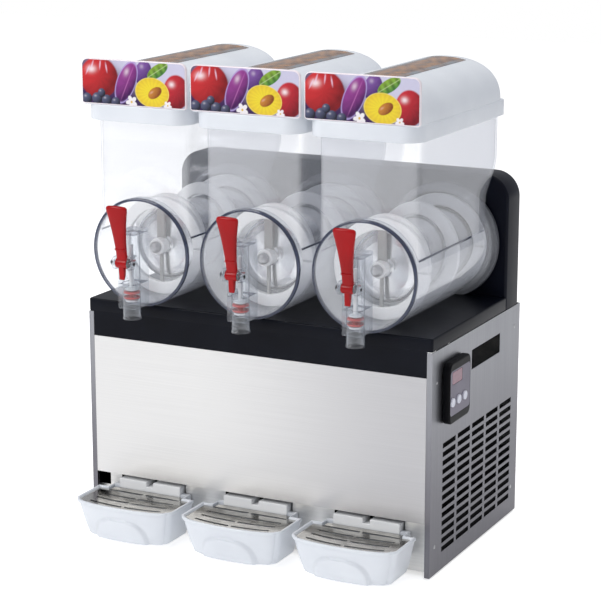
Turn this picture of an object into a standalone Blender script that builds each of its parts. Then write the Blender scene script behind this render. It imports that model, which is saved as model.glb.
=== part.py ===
"""Three-bowl slush machine for a shop counter.

Metres, +Z up, front at -Y. The origin is at the bottom centre of the whole machine.
Heights are measured from the lower edge of the steel casing and depths from its front face;
one empty carries the casing and three more carry the bowls.
"""

import math

import bmesh
import bpy
from mathutils import Matrix

# Driving dimensions
body_width = 0.590
body_depth = 0.358
panel_height = 0.349
deck_top = 0.370
bowl_pitch = 0.190
bowl_count = 3
bowl_axis = 0.4555
bowl_radius = 0.0845
bowl_front = -0.015
bowl_rear = 0.283
hopper_half = 0.080
hopper_top = 0.664
housing_front = 0.295
housing_rear = 0.348
housing_top = 0.565
tray_reach = 0.100
foot_height = 0.003

# Common small dimensions
gap = 0.0003
sheet = 0.0015
moulding = 0.0025
clear_wall = 0.003
round_steps = 24
small_steps = 10
weld = 0.0001

# Casing
flange_width = 0.0085
front_panel_bottom = 0.085
front_panel_top = 0.310
panel_return = 0.012
strip_setback = 0.014
strip_bottom = 0.0035
strip_slot_low = 0.0612
strip_slot_high = 0.0828
strip_slot_half = 0.059
strip_notch_width = 0.0215
strip_notch_low = 0.0600
housing_corner = 0.040

# Feet
foot_spread = 0.255
foot_rows = (0.045, 0.315)
foot_radius = 0.014
foot_collar = 0.016

# Vents and hand slots in the side panels
vent_columns = 5
vent_rows = 13
vent_length = 0.050
vent_height = 0.008
vent_column_pitch = 0.058
vent_row_pitch = 0.0136
vent_first_y = 0.070
vent_first_z = 0.032
hand_slot_y = (0.154, 0.272)
hand_slot_z = (0.287, 0.318)

# Vents in the rear panel
rear_vent_rows = 6
rear_vent_places = (-0.13, 0.0, 0.13)
rear_vent_length = 0.090
rear_vent_first_z = 0.160
rear_vent_pitch = 0.022

# Power inlet, in the rear panel
inlet_x = -0.200
inlet_z = 0.112
inlet_flange = 0.002
inlet_flange_half = (0.020, 0.014)
inlet_opening_half = (0.014, 0.010)
inlet_shell_half = (0.0135, 0.0095)
inlet_wall = 0.002
inlet_depth = 0.022
inlet_hollow = 0.016

# Controls, on the right side panel
control_y = (0.0375, 0.1190)
control_z = (0.230, 0.325)
control_depth = 0.0128
control_round = 0.0025
control_floor = 0.004
button_count = 3
button_radius = 0.0070
button_proud = 0.002
button_travel = 0.0015
button_pitch = 0.0235
button_first_y = 0.0482
button_z = 0.2640
button_round = 0.0008
display_y = (0.0470, 0.0860)
display_z = (0.290, 0.310)
display_recess = 0.003
display_sunk = 0.0008

# Refrigeration, in the casing
compressor_place = (-0.165, 0.20)
compressor_radius = 0.062
compressor_round = 0.022
compressor_top = 0.165
compressor_foot_half = (0.075, 0.055)
compressor_foot_height = 0.020
compressor_sunk = 0.012
condenser_x = (0.245, 0.283)
condenser_y = (0.060, 0.300)
condenser_top = 0.200
condenser_back = 0.008
condenser_cheek = 0.010
fin_gaps = 8
fin_gap_height = 0.008
fin_pitch = 0.020
fin_first_z = 0.030
fan_x = 0.222
fan_y = 0.180
fan_z = 0.105
fan_hub_radius = 0.022
fan_hub_half = 0.010
fan_bore = 0.0045
fan_blades = 5
blade_reach = 0.078
blade_half = 0.016
blade_thickness = 0.0024
blade_root = 0.003
blade_twist = math.radians(28)
motor_radius = 0.030
motor_x = (0.150, 0.205)
spindle_radius = 0.004
spindle_overlap = 0.005
spindle_end = 0.228
post_x = (0.165, 0.190)
post_half = 0.020

# Bowl, hopper and tap
hopper_front = 0.0
hopper_rear = 0.312
hopper_slope_top = 0.592
hopper_slope_bottom = 0.530
hopper_waist = 0.268
hopper_draft = 0.002
hopper_rear_share = 0.8
flange_radius = 0.0925
flange_thickness = 0.004
gasket_lip = 0.006
gasket_rise = 0.0015
hopper_joint = 0.016
lug_half = 0.020
lug_length = 0.022
lug_places = (0.020, 0.235)
tap_half = 0.015
tap_front = -0.056
tap_bottom = 0.375
tap_top = 0.4965
tap_bore = 0.0118
tap_axis_y = -0.041
spout_radius = 0.0145
spout_bottom = 0.357
port_radius = 0.007
port_height = 0.395
window_half = 0.0085
window_drop = 0.036
tap_roof = 0.006
pivot_y = -0.0655
pivot_z = 0.449
pin_radius = 0.0027
ear_inner = 0.0103
ear_outer = 0.0155
ear_reach = 0.008
ear_rise = 0.010
pin_half = 0.0200
pin_head = 0.0042

# Tap lever, from its pivot
lever_half = 0.0099
lever_hub = 0.0078
lever_lean = math.radians(10)
lever_top = 0.0915
lever_foot = -0.004
neck_half = 0.0088
neck_height = 0.015
paddle_half = 0.018
paddle_thickness = 0.007
paddle_corner = 0.004
paddle_swell = 1.7
paddle_steps = 6
tip_half = 0.0045
tip_outline = ((-0.0065, 0.0), (0.004, 0.0), (0.001, -0.020), (-0.004, -0.029))
finger_reach = 0.0255
finger_x = (0.0046, 0.0076)
finger_half = 0.0015

# Tap plunger and its seal
stem_radius = 0.0035
stem_top = 0.474
piston_radius = 0.0100
piston_sole = 0.003
piston_crown = (0.002, 0.004)
collar_radius = 0.0085
collar_thickness = 0.002
collar_gap = 0.005
seal_half = 0.007
seal_clearance = 0.0005

# Freezing gear
drum_radius = 0.0555
drum_front = 0.060
drum_wall = 0.002
drum_round = 0.007
drum_dish = 0.003
drum_nose = ((0.012, 0.004), (0.016, 0.0))
drum_face_depth = 0.010
drum_tube = 0.003
shaft_radius = 0.005
shaft_clearance = 0.0008
shaft_nose = ((0.006, 0.001), (0.009, 0.005), (0.009, 0.010))
shaft_overrun = 0.012
gearcase_half = (0.045, 0.036)
gearcase_depth = 0.024
gearcase_round = 0.004
gearcase_socket = 0.014
gearmotor_radius = 0.032
gearmotor_overlap = 0.004
gearmotor_clearance = 0.002
auger_inner = 0.0585
auger_outer = 0.078
auger_front = 0.047
auger_band = 0.010
auger_turns = 2
auger_rear = 0.276
auger_steps = 16
auger_ring_trim = (0.0006, 0.0004)
auger_ring_overlap = 0.001
auger_hub_radius = 0.013
auger_hub_reach = (0.012, 0.007)
auger_arm_half = 0.006
auger_arm_depth = (0.001, 0.006)

# Lid
lid_half = 0.0895
lid_front = -0.026
lid_rear = 0.316
lid_bottom = 0.6585
lid_ledge = 0.6835
lid_crown = 0.748
label_half = 0.0915
label_top = 0.753
label_depth = 0.006
label_corner = 0.012
vault_rear = 0.302
vault_inset = 0.0015
vault_hollow_half = 0.0765
vault_wall = (0.004, 0.006)
vault_hollow_front = 0.006
lid_play = 0.001

# Drip tray
tray_half = 0.0870
tray_rear_half = 0.069
tray_bottom = 0.008
tray_rim = 0.066
tray_wall = 0.0025
tray_lift = 0.001
tray_bow = 0.015
tray_corner = 0.013
tray_step = -0.010
tray_rear = 0.0125
tray_taper = 0.84
tongue_half = 0.0555
tongue_front = 0.003
tongue_rear = 0.030
tongue_top = 0.0780
notch_half = 0.006
notch_low = 0.0700
tail_rise = 0.020
grid_inset = 0.0065
grid_clearance = 0.0012
grid_thickness = 0.0015
grid_height = 0.0605
grid_bars = 5
grid_first_y = -0.024
grid_pitch = 0.0125
grid_slot = 0.0050
grid_slot_margin = 0.025
leg_places = (-0.062, 0.062)
leg_y = (-0.060, -0.030)
leg_half = 0.0015

# Every place is worked out from the casing's front face, so these centre the whole machine.
control_reach = body_width / 2 + gap + control_depth + button_proud
shift_x = -(control_reach - body_width / 2) / 2
shift_y = (tray_reach - (body_depth + gap + inlet_flange)) / 2
bowl_places = [(n - (bowl_count - 1) / 2) * bowl_pitch for n in range(bowl_count)]
button_places = [button_first_y + n * button_pitch for n in range(button_count)]

materials = {
    "brushed_steel": ((0.72, 0.71, 0.69), 0.32, 1.0),
    "black_plastic": ((0.020, 0.021, 0.025), 0.42, 0.0),
    "clear_plastic": ((0.80, 0.83, 0.88), 0.08, 0.0),
    "white_plastic": ((0.72, 0.74, 0.77), 0.35, 0.0),
    "red_plastic": ((0.52, 0.012, 0.018), 0.30, 0.0),
    "grey_rubber": ((0.20, 0.20, 0.21), 0.70, 0.0),
    "red_rubber": ((0.45, 0.03, 0.03), 0.60, 0.0),
    "black_rubber": ((0.015, 0.015, 0.015), 0.80, 0.0),
    "zinc_steel": ((0.50, 0.51, 0.52), 0.45, 1.0),
    "black_enamel": ((0.012, 0.012, 0.013), 0.35, 0.0),
    "aluminium": ((0.62, 0.63, 0.64), 0.40, 1.0),
    "red_window": ((0.16, 0.01, 0.01), 0.12, 0.0),
}


def clear_scene():
    for ob in list(bpy.data.objects):
        bpy.data.objects.remove(ob)


def make_collection(name):
    collection = bpy.data.collections.new(name)
    bpy.context.scene.collection.children.link(collection)
    return collection


def make_materials():
    for name, (colour, roughness, metallic) in materials.items():
        material = bpy.data.materials.new(name)
        material.use_nodes = True
        shader = material.node_tree.nodes["Principled BSDF"]
        shader.inputs["Base Color"].default_value = (*colour, 1.0)
        shader.inputs["Roughness"].default_value = roughness
        shader.inputs["Metallic"].default_value = metallic
        material.diffuse_color = (*colour, 1.0)


def make_empty(name, parent, location):
    empty = bpy.data.objects.new(name, None)
    parts.objects.link(empty)
    empty.parent = parent
    empty.location = location
    return empty


def make_object(name, mesh, collection):
    ob = bpy.data.objects.new(name, mesh)
    collection.objects.link(ob)
    return ob


def mesh_from(name, bm):
    mesh = bpy.data.meshes.new(name)
    bm.to_mesh(mesh)
    bm.free()
    return mesh


# Shapes: each is a scratch object that finish() turns into a plain mesh.


def box(low, high):
    bm = bmesh.new()
    bmesh.ops.create_cube(bm, size=1.0)
    sizes = [b - a for a, b in zip(low, high)]
    centre = [(a + b) / 2 for a, b in zip(low, high)]
    bmesh.ops.scale(bm, vec=sizes, verts=bm.verts)
    bmesh.ops.translate(bm, vec=centre, verts=bm.verts)
    return make_object("shape", mesh_from("shape", bm), shapes)


along = {
    "X": Matrix.Rotation(math.radians(90), 4, "Y"),
    "Y": Matrix.Rotation(math.radians(-90), 4, "X"),
    "Z": Matrix.Identity(4),
}


def rod(radius, low, high, axis, steps=round_steps, end_radius=None):
    """A cylinder or cone between two points that differ along axis only."""
    bm = bmesh.new()
    length = sum(high) - sum(low)
    place = Matrix.Translation([(a + b) / 2 for a, b in zip(low, high)]) @ along[axis]
    tip = radius if end_radius is None else end_radius
    bmesh.ops.create_cone(bm, cap_ends=True, segments=steps, radius1=radius, radius2=tip,
                          depth=length, matrix=place)
    return make_object("shape", mesh_from("shape", bm), shapes)


def turned(profile, steps=round_steps, closed=False):
    """A profile of (radius, forward) points turned about an axis that points to the front."""
    points = [(radius, 0.0, forward) for radius, forward in profile]
    edges = [(i, i + 1) for i in range(len(points) - 1)]
    if closed:
        edges.append((len(points) - 1, 0))
    mesh = bpy.data.meshes.new("shape")
    mesh.from_pydata(points, edges, [])
    ob = make_object("shape", mesh, shapes)
    screw = ob.modifiers.new("turn", "SCREW")
    screw.axis = "Z"
    screw.steps = screw.render_steps = steps
    screw.use_merge_vertices = True
    screw.merge_threshold = weld
    screw.use_normal_calculate = True
    return turn_mesh(ob, Matrix.Rotation(math.radians(90), 4, "X"))


def evaluated_mesh(ob):
    bpy.context.view_layer.update()
    return bpy.data.meshes.new_from_object(ob.evaluated_get(bpy.context.evaluated_depsgraph_get()))


def replace_by(ob, mesh):
    bpy.data.objects.remove(ob)
    return make_object("shape", mesh, shapes)


def turn_mesh(ob, matrix):
    """Applies the modifiers and a turn, with the faces set to point out."""
    mesh = evaluated_mesh(ob)
    mesh.transform(matrix)
    bm = bmesh.new()
    bm.from_mesh(mesh)
    bmesh.ops.recalc_face_normals(bm, faces=bm.faces)
    bm.to_mesh(mesh)
    bm.free()
    return replace_by(ob, mesh)


planes = {
    "XY": Matrix.Identity(4),
    "XZ": Matrix(((1, 0, 0, 0), (0, 0, -1, 0), (0, 1, 0, 0), (0, 0, 0, 1))),
    "YZ": Matrix(((0, 0, 1, 0), (1, 0, 0, 0), (0, 1, 0, 0), (0, 0, 0, 1))),
}
across = {"XY": 2, "XZ": 1, "YZ": 0}


def plate(outline, plane, low, high):
    """A flat outline in one plane, from low to high across it."""
    curve = bpy.data.curves.new("shape", "CURVE")
    curve.dimensions = "2D"
    curve.fill_mode = "BOTH"
    curve.extrude = (high - low) / 2
    spline = curve.splines.new("POLY")
    spline.points.add(len(outline) - 1)
    for point, (u, v) in zip(spline.points, outline):
        point.co = (u, v, 0, 1)
    spline.use_cyclic_u = True
    ob = make_object("shape", curve, shapes)
    mesh = evaluated_mesh(ob)
    offset = [0, 0, 0]
    offset[across[plane]] = (low + high) / 2
    mesh.transform(Matrix.Translation(offset) @ planes[plane])
    bm = bmesh.new()
    bm.from_mesh(mesh)
    bmesh.ops.remove_doubles(bm, verts=bm.verts, dist=weld / 10)
    bmesh.ops.recalc_face_normals(bm, faces=bm.faces)
    bm.to_mesh(mesh)
    bm.free()
    return replace_by(ob, mesh)


def arc(centre, radius, start, end, steps):
    """Points on an arc, both ends included, angles in degrees."""
    angles = [math.radians(start + (end - start) * i / steps) for i in range(steps + 1)]
    return [(centre[0] + radius * math.cos(a), centre[1] + radius * math.sin(a)) for a in angles]


def combine(ob, others, operation):
    for other in others:
        for collection in list(other.users_collection):
            collection.objects.unlink(other)
        cutters.objects.link(other)
        other.hide_render = True
        other.display_type = "WIRE"
        modifier = ob.modifiers.new(operation.lower(), "BOOLEAN")
        modifier.operation = operation
        modifier.solver = "EXACT"
        modifier.object = other
    mesh = evaluated_mesh(ob)
    for other in others:
        bpy.data.objects.remove(other)
    return replace_by(ob, mesh)


def join(ob, *others):
    return combine(ob, others, "UNION")


def cut(ob, *others):
    return combine(ob, others, "DIFFERENCE")


def soften(ob, width, segments=2, angle=40):
    """Rounds the sharp edges."""
    bevel = ob.modifiers.new("soften", "BEVEL")
    bevel.width = width
    bevel.segments = segments
    bevel.limit_method = "ANGLE"
    bevel.angle_limit = math.radians(angle)
    return replace_by(ob, evaluated_mesh(ob))


def finish(ob, material, name=None, parent=None, location=(0, 0, 0)):
    """Takes a scratch shape as a finished mesh and, with a name, places it."""
    mesh = ob.data
    bpy.data.objects.remove(ob)
    bm = bmesh.new()
    bm.from_mesh(mesh)
    bmesh.ops.remove_doubles(bm, verts=bm.verts, dist=weld / 10)
    bmesh.ops.dissolve_limit(bm, angle_limit=math.radians(0.5), verts=bm.verts, edges=bm.edges)
    bmesh.ops.triangulate(bm, faces=bm.faces)
    bm.to_mesh(mesh)
    bm.free()
    mesh.materials.clear()
    mesh.materials.append(bpy.data.materials[material])
    mesh.shade_smooth()
    mesh.set_sharp_from_angle(angle=math.radians(35))
    if name:
        place(name, mesh, parent, location)
    return mesh


def place(name, mesh, parent, location=(0, 0, 0)):
    mesh.name = name
    ob = make_object(name, mesh, parts)
    ob.parent = parent
    ob.location = location
    return ob


# Casing


def vent_cutters(side):
    boxes = []
    x = side * body_width / 2
    for column in range(vent_columns):
        for row in range(vent_rows):
            y = vent_first_y + column * vent_column_pitch
            z = vent_first_z + row * vent_row_pitch
            boxes.append(((x, y, z), (4 * sheet, vent_length, vent_height)))
    slot_centre = (x, sum(hand_slot_y) / 2, sum(hand_slot_z) / 2)
    slot_size = (4 * sheet, hand_slot_y[1] - hand_slot_y[0], hand_slot_z[1] - hand_slot_z[0])
    return box_group(boxes + [(slot_centre, slot_size)])


def box_group(boxes):
    """One cutter made of boxes that stand apart."""
    bm = bmesh.new()
    for centre, size in boxes:
        made = bmesh.ops.create_cube(bm, size=1.0)["verts"]
        bmesh.ops.scale(bm, vec=size, verts=made)
        bmesh.ops.translate(bm, vec=centre, verts=made)
    return make_object("shape", mesh_from("shape", bm), shapes)


def side_panel(name, side):
    outer = side * body_width / 2
    inner = side * (body_width / 2 - sheet)
    tip = side * (body_width / 2 - flange_width)
    outline = [(outer, 0), (outer, body_depth), (tip, body_depth), (tip, body_depth - sheet),
               (inner, body_depth - sheet), (inner, sheet), (tip, sheet), (tip, 0)]
    panel = plate(outline, "XY", 0, panel_height)
    finish(cut(panel, vent_cutters(side)), "brushed_steel", name, body)


def channel(y, depth, low, high, half):
    """A sheet that stands at y, with returns of the given depth at its lower and upper edge."""
    step = sheet if depth > 0 else -sheet
    outline = [(y, low), (y + depth, low), (y + depth, low + sheet), (y + step, low + sheet),
               (y + step, high - sheet), (y + depth, high - sheet), (y + depth, high), (y, high)]
    return plate(outline, "YZ", -half, half)


def front_panel():
    half = body_width / 2 - flange_width - gap
    finish(channel(0, panel_return, front_panel_bottom, front_panel_top, half),
           "brushed_steel", "front_panel", body)


def rear_panel():
    half = body_width / 2 - flange_width - gap
    panel = channel(body_depth, -panel_return, strip_bottom, panel_height - gap, half)
    slots = [((x, body_depth, rear_vent_first_z + row * rear_vent_pitch),
              (rear_vent_length, 4 * sheet, vent_height))
             for row in range(rear_vent_rows) for x in rear_vent_places]
    opening = inlet_box(inlet_opening_half, body_depth - 3 * sheet, body_depth + 3 * sheet)
    finish(cut(panel, box_group(slots), opening), "zinc_steel", "rear_panel", body)


def inlet_box(half, front, rear):
    """A box round the inlet's centre, from one depth to another."""
    return box((inlet_x - half[0], front, inlet_z - half[1]),
               (inlet_x + half[0], rear, inlet_z + half[1]))


def base_pan():
    half = body_width / 2 - sheet - gap
    rear = body_depth - sheet - panel_return
    top = front_panel_bottom - gap
    inner_low = strip_bottom + sheet
    pan = box((-half, strip_setback, strip_bottom), (half, rear, top))
    hollow = box((-half + sheet, strip_setback + sheet, inner_low),
                 (half - sheet, rear - sheet, top + sheet))
    slots = [((x, strip_setback, (strip_slot_low + strip_slot_high) / 2),
              (2 * strip_slot_half, 4 * sheet, strip_slot_high - strip_slot_low))
             for x in bowl_places]
    notch = box((-half + sheet, strip_setback - sheet, strip_notch_low),
                (-half + sheet + strip_notch_width, strip_setback + 3 * sheet, top + sheet))
    finish(cut(pan, hollow, box_group(slots), notch), "zinc_steel", "base_pan", body)


def feet():
    pad = rod(foot_collar, (0, 0, -foot_height), (0, 0, strip_bottom - gap), "Z", small_steps,
              foot_radius)
    mesh = finish(pad, "black_rubber")
    places = [(side * foot_spread, y) for y in foot_rows for side in (-1, 1)]
    for number, (x, y) in enumerate(places, 1):
        place(f"foot_{number}", mesh, body, (x, y, 0))


def deck():
    half = body_width / 2
    low = panel_height + gap
    rear = housing_front - gap
    shell = box((-half, 0, low), (half, rear, deck_top))
    hollow = box((-half + moulding, moulding, low - gap), (half - moulding, rear - moulding,
                                                         deck_top - moulding))
    fascia_half = half - flange_width - gap
    fascia = box((-fascia_half, 0, front_panel_top + gap), (fascia_half, moulding, low + moulding))
    finish(cut(join(shell, fascia), hollow), "black_plastic", "deck", body)


def arch(half, low, high, corner, steps=5):
    return ([(half, low)] + arc((half - corner, high - corner), corner, 0, 90, steps)
            + arc((corner - half, high - corner), corner, 90, 180, steps) + [(-half, low)])


def rear_housing():
    low = panel_height + gap
    half = body_width / 2
    shell = plate(arch(half, low, housing_top, housing_corner), "XZ", housing_front, housing_rear)
    hollow = plate(arch(half - moulding, low - moulding, housing_top - moulding,
                        housing_corner - moulding), "XZ",
                   housing_front + moulding, housing_rear - moulding)
    holes = [rod(shaft_radius + shaft_clearance, (x, housing_front - moulding, bowl_axis),
                 (x, housing_front + 2 * moulding, bowl_axis), "Y", small_steps)
             for x in bowl_places]
    finish(cut(shell, hollow, *holes), "black_plastic", "rear_housing", body)


# Controls


def control_panel():
    """The bezel, with a sunk display window and a pocket for each button."""
    inner = body_width / 2 + gap
    face = inner + control_depth
    bezel = soften(box((inner, control_y[0], control_z[0]), (face, control_y[1], control_z[1])),
                   control_round)
    window = box((face - display_recess, display_y[0], display_z[0]),
                 (2 * face - inner, display_y[1], display_z[1]))
    holes = [rod(button_radius + 2 * gap, (inner + control_floor, y, button_z),
                 (2 * face - inner, y, button_z), "X", small_steps) for y in button_places]
    finish(cut(bezel, window, *holes), "black_plastic", "control_panel", body)
    glass = box((face - display_recess + gap, display_y[0] + gap, display_z[0] + gap),
                (face - display_sunk, display_y[1] - gap, display_z[1] - gap))
    finish(glass, "red_window", "display_window", body)
    length = control_depth + button_proud - control_floor - button_travel - gap
    cap = rod(button_radius, (-length, 0, 0), (0, 0, 0), "X", small_steps)
    mesh = finish(soften(cap, button_round, 1), "white_plastic")
    for number, y in enumerate(button_places, 1):
        place(f"button_{number}", mesh, body, (face + button_proud, y, button_z))


# Refrigeration, in the casing


def compressor():
    low = strip_bottom + sheet + gap
    foot_x, foot_y = compressor_foot_half
    shell = rod(compressor_radius, (0, 0, low + compressor_sunk), (0, 0, compressor_top), "Z",
                small_steps + 8)
    shell = soften(shell, compressor_round, 3)
    foot = box((-foot_x, -foot_y, low), (foot_x, foot_y, low + compressor_foot_height))
    finish(join(shell, foot), "black_enamel", "compressor", body, (*compressor_place, 0))


def condenser():
    """A block cut into fins from the side that faces the fan."""
    core = box((condenser_x[0], condenser_y[0], strip_bottom + sheet + gap),
               (condenser_x[1], condenser_y[1], condenser_top))
    depth = condenser_x[1] - condenser_x[0]
    centre_x = condenser_x[0] - condenser_back
    length = condenser_y[1] - condenser_y[0] - 2 * condenser_cheek
    gaps = [((centre_x, sum(condenser_y) / 2, fin_first_z + fin_pitch * n),
             (2 * depth, length, fin_gap_height)) for n in range(fin_gaps)]
    finish(cut(core, box_group(gaps)), "aluminium", "condenser", body)


def condenser_fan():
    hub = rod(fan_hub_radius, (-fan_hub_half, 0, 0), (fan_hub_half, 0, 0), "X", small_steps)
    bore = rod(fan_bore, (-2 * fan_hub_half, 0, 0), (2 * fan_hub_half, 0, 0), "X", small_steps + 2)
    paddles = []
    for n in range(fan_blades):
        paddle = box((-blade_thickness / 2, -blade_half, fan_hub_radius - blade_root),
                     (blade_thickness / 2, blade_half, blade_reach))
        spin = Matrix.Rotation(2 * math.pi * n / fan_blades, 4, "X")
        paddles.append(turn_mesh(paddle, spin @ Matrix.Rotation(blade_twist, 4, "Z")))
    finish(cut(join(hub, *paddles), bore), "black_plastic", "condenser_fan", body,
           (fan_x, fan_y, fan_z))


def fan_motor():
    motor = rod(motor_radius, (motor_x[0], fan_y, fan_z), (motor_x[1], fan_y, fan_z), "X",
                small_steps + 8)
    spindle = rod(spindle_radius, (motor_x[1] - spindle_overlap, fan_y, fan_z),
                  (spindle_end, fan_y, fan_z), "X", small_steps + 2)
    post = box((post_x[0], fan_y - post_half, strip_bottom + sheet + gap),
               (post_x[1], fan_y + post_half, fan_z))
    finish(join(motor, spindle, post), "zinc_steel", "fan_motor", body)


def power_inlet():
    flange = inlet_box(inlet_flange_half, body_depth + gap, body_depth + gap + inlet_flange)
    shell = inlet_box(inlet_shell_half, body_depth - inlet_depth, body_depth + inlet_flange)
    hollow_half = [half - inlet_wall for half in inlet_shell_half]
    hollow = inlet_box(hollow_half, body_depth - inlet_hollow, body_depth + inlet_depth)
    finish(cut(join(flange, shell), hollow), "black_plastic", "power_inlet", body)


# Freezing gear, one set for each bowl


def evaporator():
    """The drum: a closed double wall round the tube that the drive shaft runs through."""
    tube, bore = shaft_radius + drum_tube, shaft_radius + shaft_clearance
    rear, front = gap - housing_front, -drum_front
    inner = drum_radius - drum_wall
    (nose, proud), (foot, _) = drum_nose
    profile = [(bore, front + proud), (nose, front + proud), (foot, front),
               (drum_radius - 2 * drum_wall, front - drum_dish), (drum_radius, front - drum_round),
               (drum_radius, rear), (inner, rear), (inner, front - drum_face_depth),
               (tube, front - 2 * drum_dish), (tube, rear), (bore, rear)]
    return finish(turned(profile, closed=True), "brushed_steel")


def ring(inner, outer, rear, front, steps):
    return turned([(inner, -front), (outer, -front), (outer, -rear), (inner, -rear)], steps, True)


def ribbon():
    """The blade: a rectangle that turns about the axis as it runs to the rear."""
    first, last = auger_front + auger_band / 2, auger_rear - auger_band / 2
    half = auger_band / 2
    section = [(auger_inner, 0, -first - half), (auger_outer, 0, -first - half),
               (auger_outer, 0, -first + half), (auger_inner, 0, -first + half)]
    mesh = bpy.data.meshes.new("shape")
    mesh.from_pydata(section, [(0, 1), (1, 2), (2, 3), (3, 0)], [])
    ob = make_object("shape", mesh, shapes)
    screw = ob.modifiers.new("wind", "SCREW")
    screw.axis = "Z"
    screw.angle = 2 * math.pi
    screw.iterations = auger_turns
    screw.screw_offset = -(last - first) / auger_turns
    screw.steps = screw.render_steps = auger_steps
    screw.use_merge_vertices = False
    mesh = evaluated_mesh(ob)
    bm = bmesh.new()
    bm.from_mesh(mesh)
    bmesh.ops.remove_doubles(bm, verts=bm.verts, dist=weld / 10)
    bmesh.ops.holes_fill(bm, edges=bm.edges, sides=4)
    bm.to_mesh(mesh)
    bm.free()
    return turn_mesh(replace_by(ob, mesh), Matrix.Rotation(math.radians(90), 4, "X"))


def auger():
    """The blade between two end rings; the front one has an arm with the drive hub."""
    half_step = Matrix.Rotation(math.pi / auger_steps, 4, "Y")
    inner, outer = auger_inner + auger_ring_trim[0], auger_outer - auger_ring_trim[1]
    over, width = auger_ring_overlap, auger_band
    front = turn_mesh(ring(inner, outer, auger_front + width - over, auger_front - over,
                           auger_steps), half_step)
    rear = turn_mesh(ring(inner, outer, auger_rear + over, auger_rear - width + over,
                          auger_steps), half_step)
    hub = rod(auger_hub_radius, (0, auger_front - auger_hub_reach[0], 0),
              (0, auger_front + auger_hub_reach[1], 0), "Y", small_steps)
    reach = auger_inner + auger_arm_half
    arm = box((-auger_arm_half, auger_front + auger_arm_depth[0], -reach),
              (auger_arm_half, auger_front + auger_arm_depth[1], reach))
    bore = rod(shaft_radius + shaft_clearance, (0, 0, 0), (0, 2 * auger_front, 0), "Y",
               small_steps)
    return finish(join(cut(join(arm, hub, front), bore), ribbon(), rear), "white_plastic")


def drive_shaft():
    """The shaft, with a round nose in front of the auger's hub."""
    nose = auger_front - auger_hub_reach[0] - gap
    rear = housing_front + shaft_overrun
    tip = nose - shaft_nose[-1][1]
    profile = [(0, -tip)]
    profile += [(radius, -(tip + back)) for radius, back in shaft_nose]
    profile += [(shaft_radius, -nose), (shaft_radius, -rear), (0, -rear)]
    return finish(turned(profile, small_steps), "zinc_steel")


def gearmotor():
    face = housing_front + moulding + gap
    half_x, half_z = gearcase_half
    rear = face + gearcase_depth
    case = soften(box((-half_x, face, -half_z), (half_x, rear, half_z)), gearcase_round, 1)
    motor = rod(gearmotor_radius, (0, rear - gearmotor_overlap, 0),
                (0, housing_rear - moulding - gearmotor_clearance, 0), "Y", small_steps + 2)
    bore = rod(shaft_radius + shaft_clearance, (0, housing_front, 0),
               (0, face + gearcase_socket, 0), "Y", small_steps)
    return finish(cut(join(case, motor), bore), "zinc_steel")


# Bowl


def hopper_outline(inset, low, high):
    """The side view of the hopper, from the cylinder up to its open top."""
    rear_step = hopper_rear_share * inset
    return [(hopper_front + inset, low), (hopper_waist - inset, low),
            (hopper_waist - inset + hopper_draft, hopper_slope_bottom),
            (hopper_rear - inset, hopper_slope_top + rear_step), (hopper_rear - inset, high),
            (hopper_front + inset, high)]


def below_deck_level():
    """Takes a flat off the foot of the round flange and gasket, so that they clear the deck."""
    return box((-bowl_pitch / 2, bowl_rear / 2, deck_top / 2),
               (bowl_pitch / 2, 2 * bowl_rear, deck_top + gap))


def bowl():
    axis_low = bowl_axis + hopper_joint
    tank = rod(bowl_radius, (0, bowl_front, bowl_axis), (0, bowl_rear, bowl_axis), "Y")
    flange = rod(flange_radius, (0, bowl_rear - flange_thickness, bowl_axis),
                 (0, bowl_rear, bowl_axis), "Y")
    flange = cut(flange, below_deck_level())
    hopper = plate(hopper_outline(0, axis_low, hopper_top), "YZ", -hopper_half, hopper_half)
    lugs = [box((-lug_half, y, deck_top + gap),
                (lug_half, y + lug_length, bowl_axis - bowl_radius + flange_thickness))
            for y in lug_places]
    outside = join(tank, flange, hopper, *tap_block(), *lugs)
    inner = bowl_radius - clear_wall
    tank_hollow = rod(inner, (0, bowl_front + clear_wall, bowl_axis),
                      (0, bowl_rear + clear_wall, bowl_axis), "Y")
    hopper_hollow = plate(hopper_outline(clear_wall, axis_low, hopper_top + clear_wall), "YZ",
                          clear_wall - hopper_half, hopper_half - clear_wall)
    return finish(cut(outside, tank_hollow, hopper_hollow, *tap_hollows()), "clear_plastic")


def tap_block():
    """The block that carries the tap, its spout and the two ears for the lever's pin."""
    block = box((-tap_half, tap_front, tap_bottom), (tap_half, bowl_front + gap, tap_top))
    spout = rod(spout_radius, (0, tap_axis_y, spout_bottom),
                (0, tap_axis_y, tap_bottom + clear_wall), "Z", small_steps + 2)
    ears = [box((min(side * ear_inner, side * ear_outer), pivot_y - ear_reach, pivot_z - ear_rise),
                (max(side * ear_inner, side * ear_outer), tap_front + gap, pivot_z + ear_rise))
            for side in (-1, 1)]
    return [block, spout, *ears]


def tap_hollows():
    """The plunger's bore, the port into the bowl, the lever's window and the pin's hole."""
    bore = rod(tap_bore, (0, tap_axis_y, spout_bottom - gap), (0, tap_axis_y, tap_top - tap_roof),
               "Z", small_steps + 2)
    port = rod(port_radius, (0, tap_axis_y, port_height), (0, 0, port_height), "Y", small_steps)
    window = box((-window_half, 2 * tap_front, pivot_z - window_drop),
                 (window_half, tap_axis_y, tap_top - tap_roof))
    pin_hole = rod(pin_radius + gap, (-2 * ear_outer, pivot_y, pivot_z),
                   (2 * ear_outer, pivot_y, pivot_z), "X", small_steps)
    return [bore, port, window, pin_hole]


def bowl_gasket():
    rear = housing_front - gap
    seal = ring(bowl_radius - gasket_lip, flange_radius + gasket_rise, rear, bowl_rear + gap,
                round_steps)
    seal = turn_mesh(seal, Matrix.Translation((0, 0, bowl_axis)))
    return finish(cut(seal, below_deck_level()), "grey_rubber")


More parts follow.
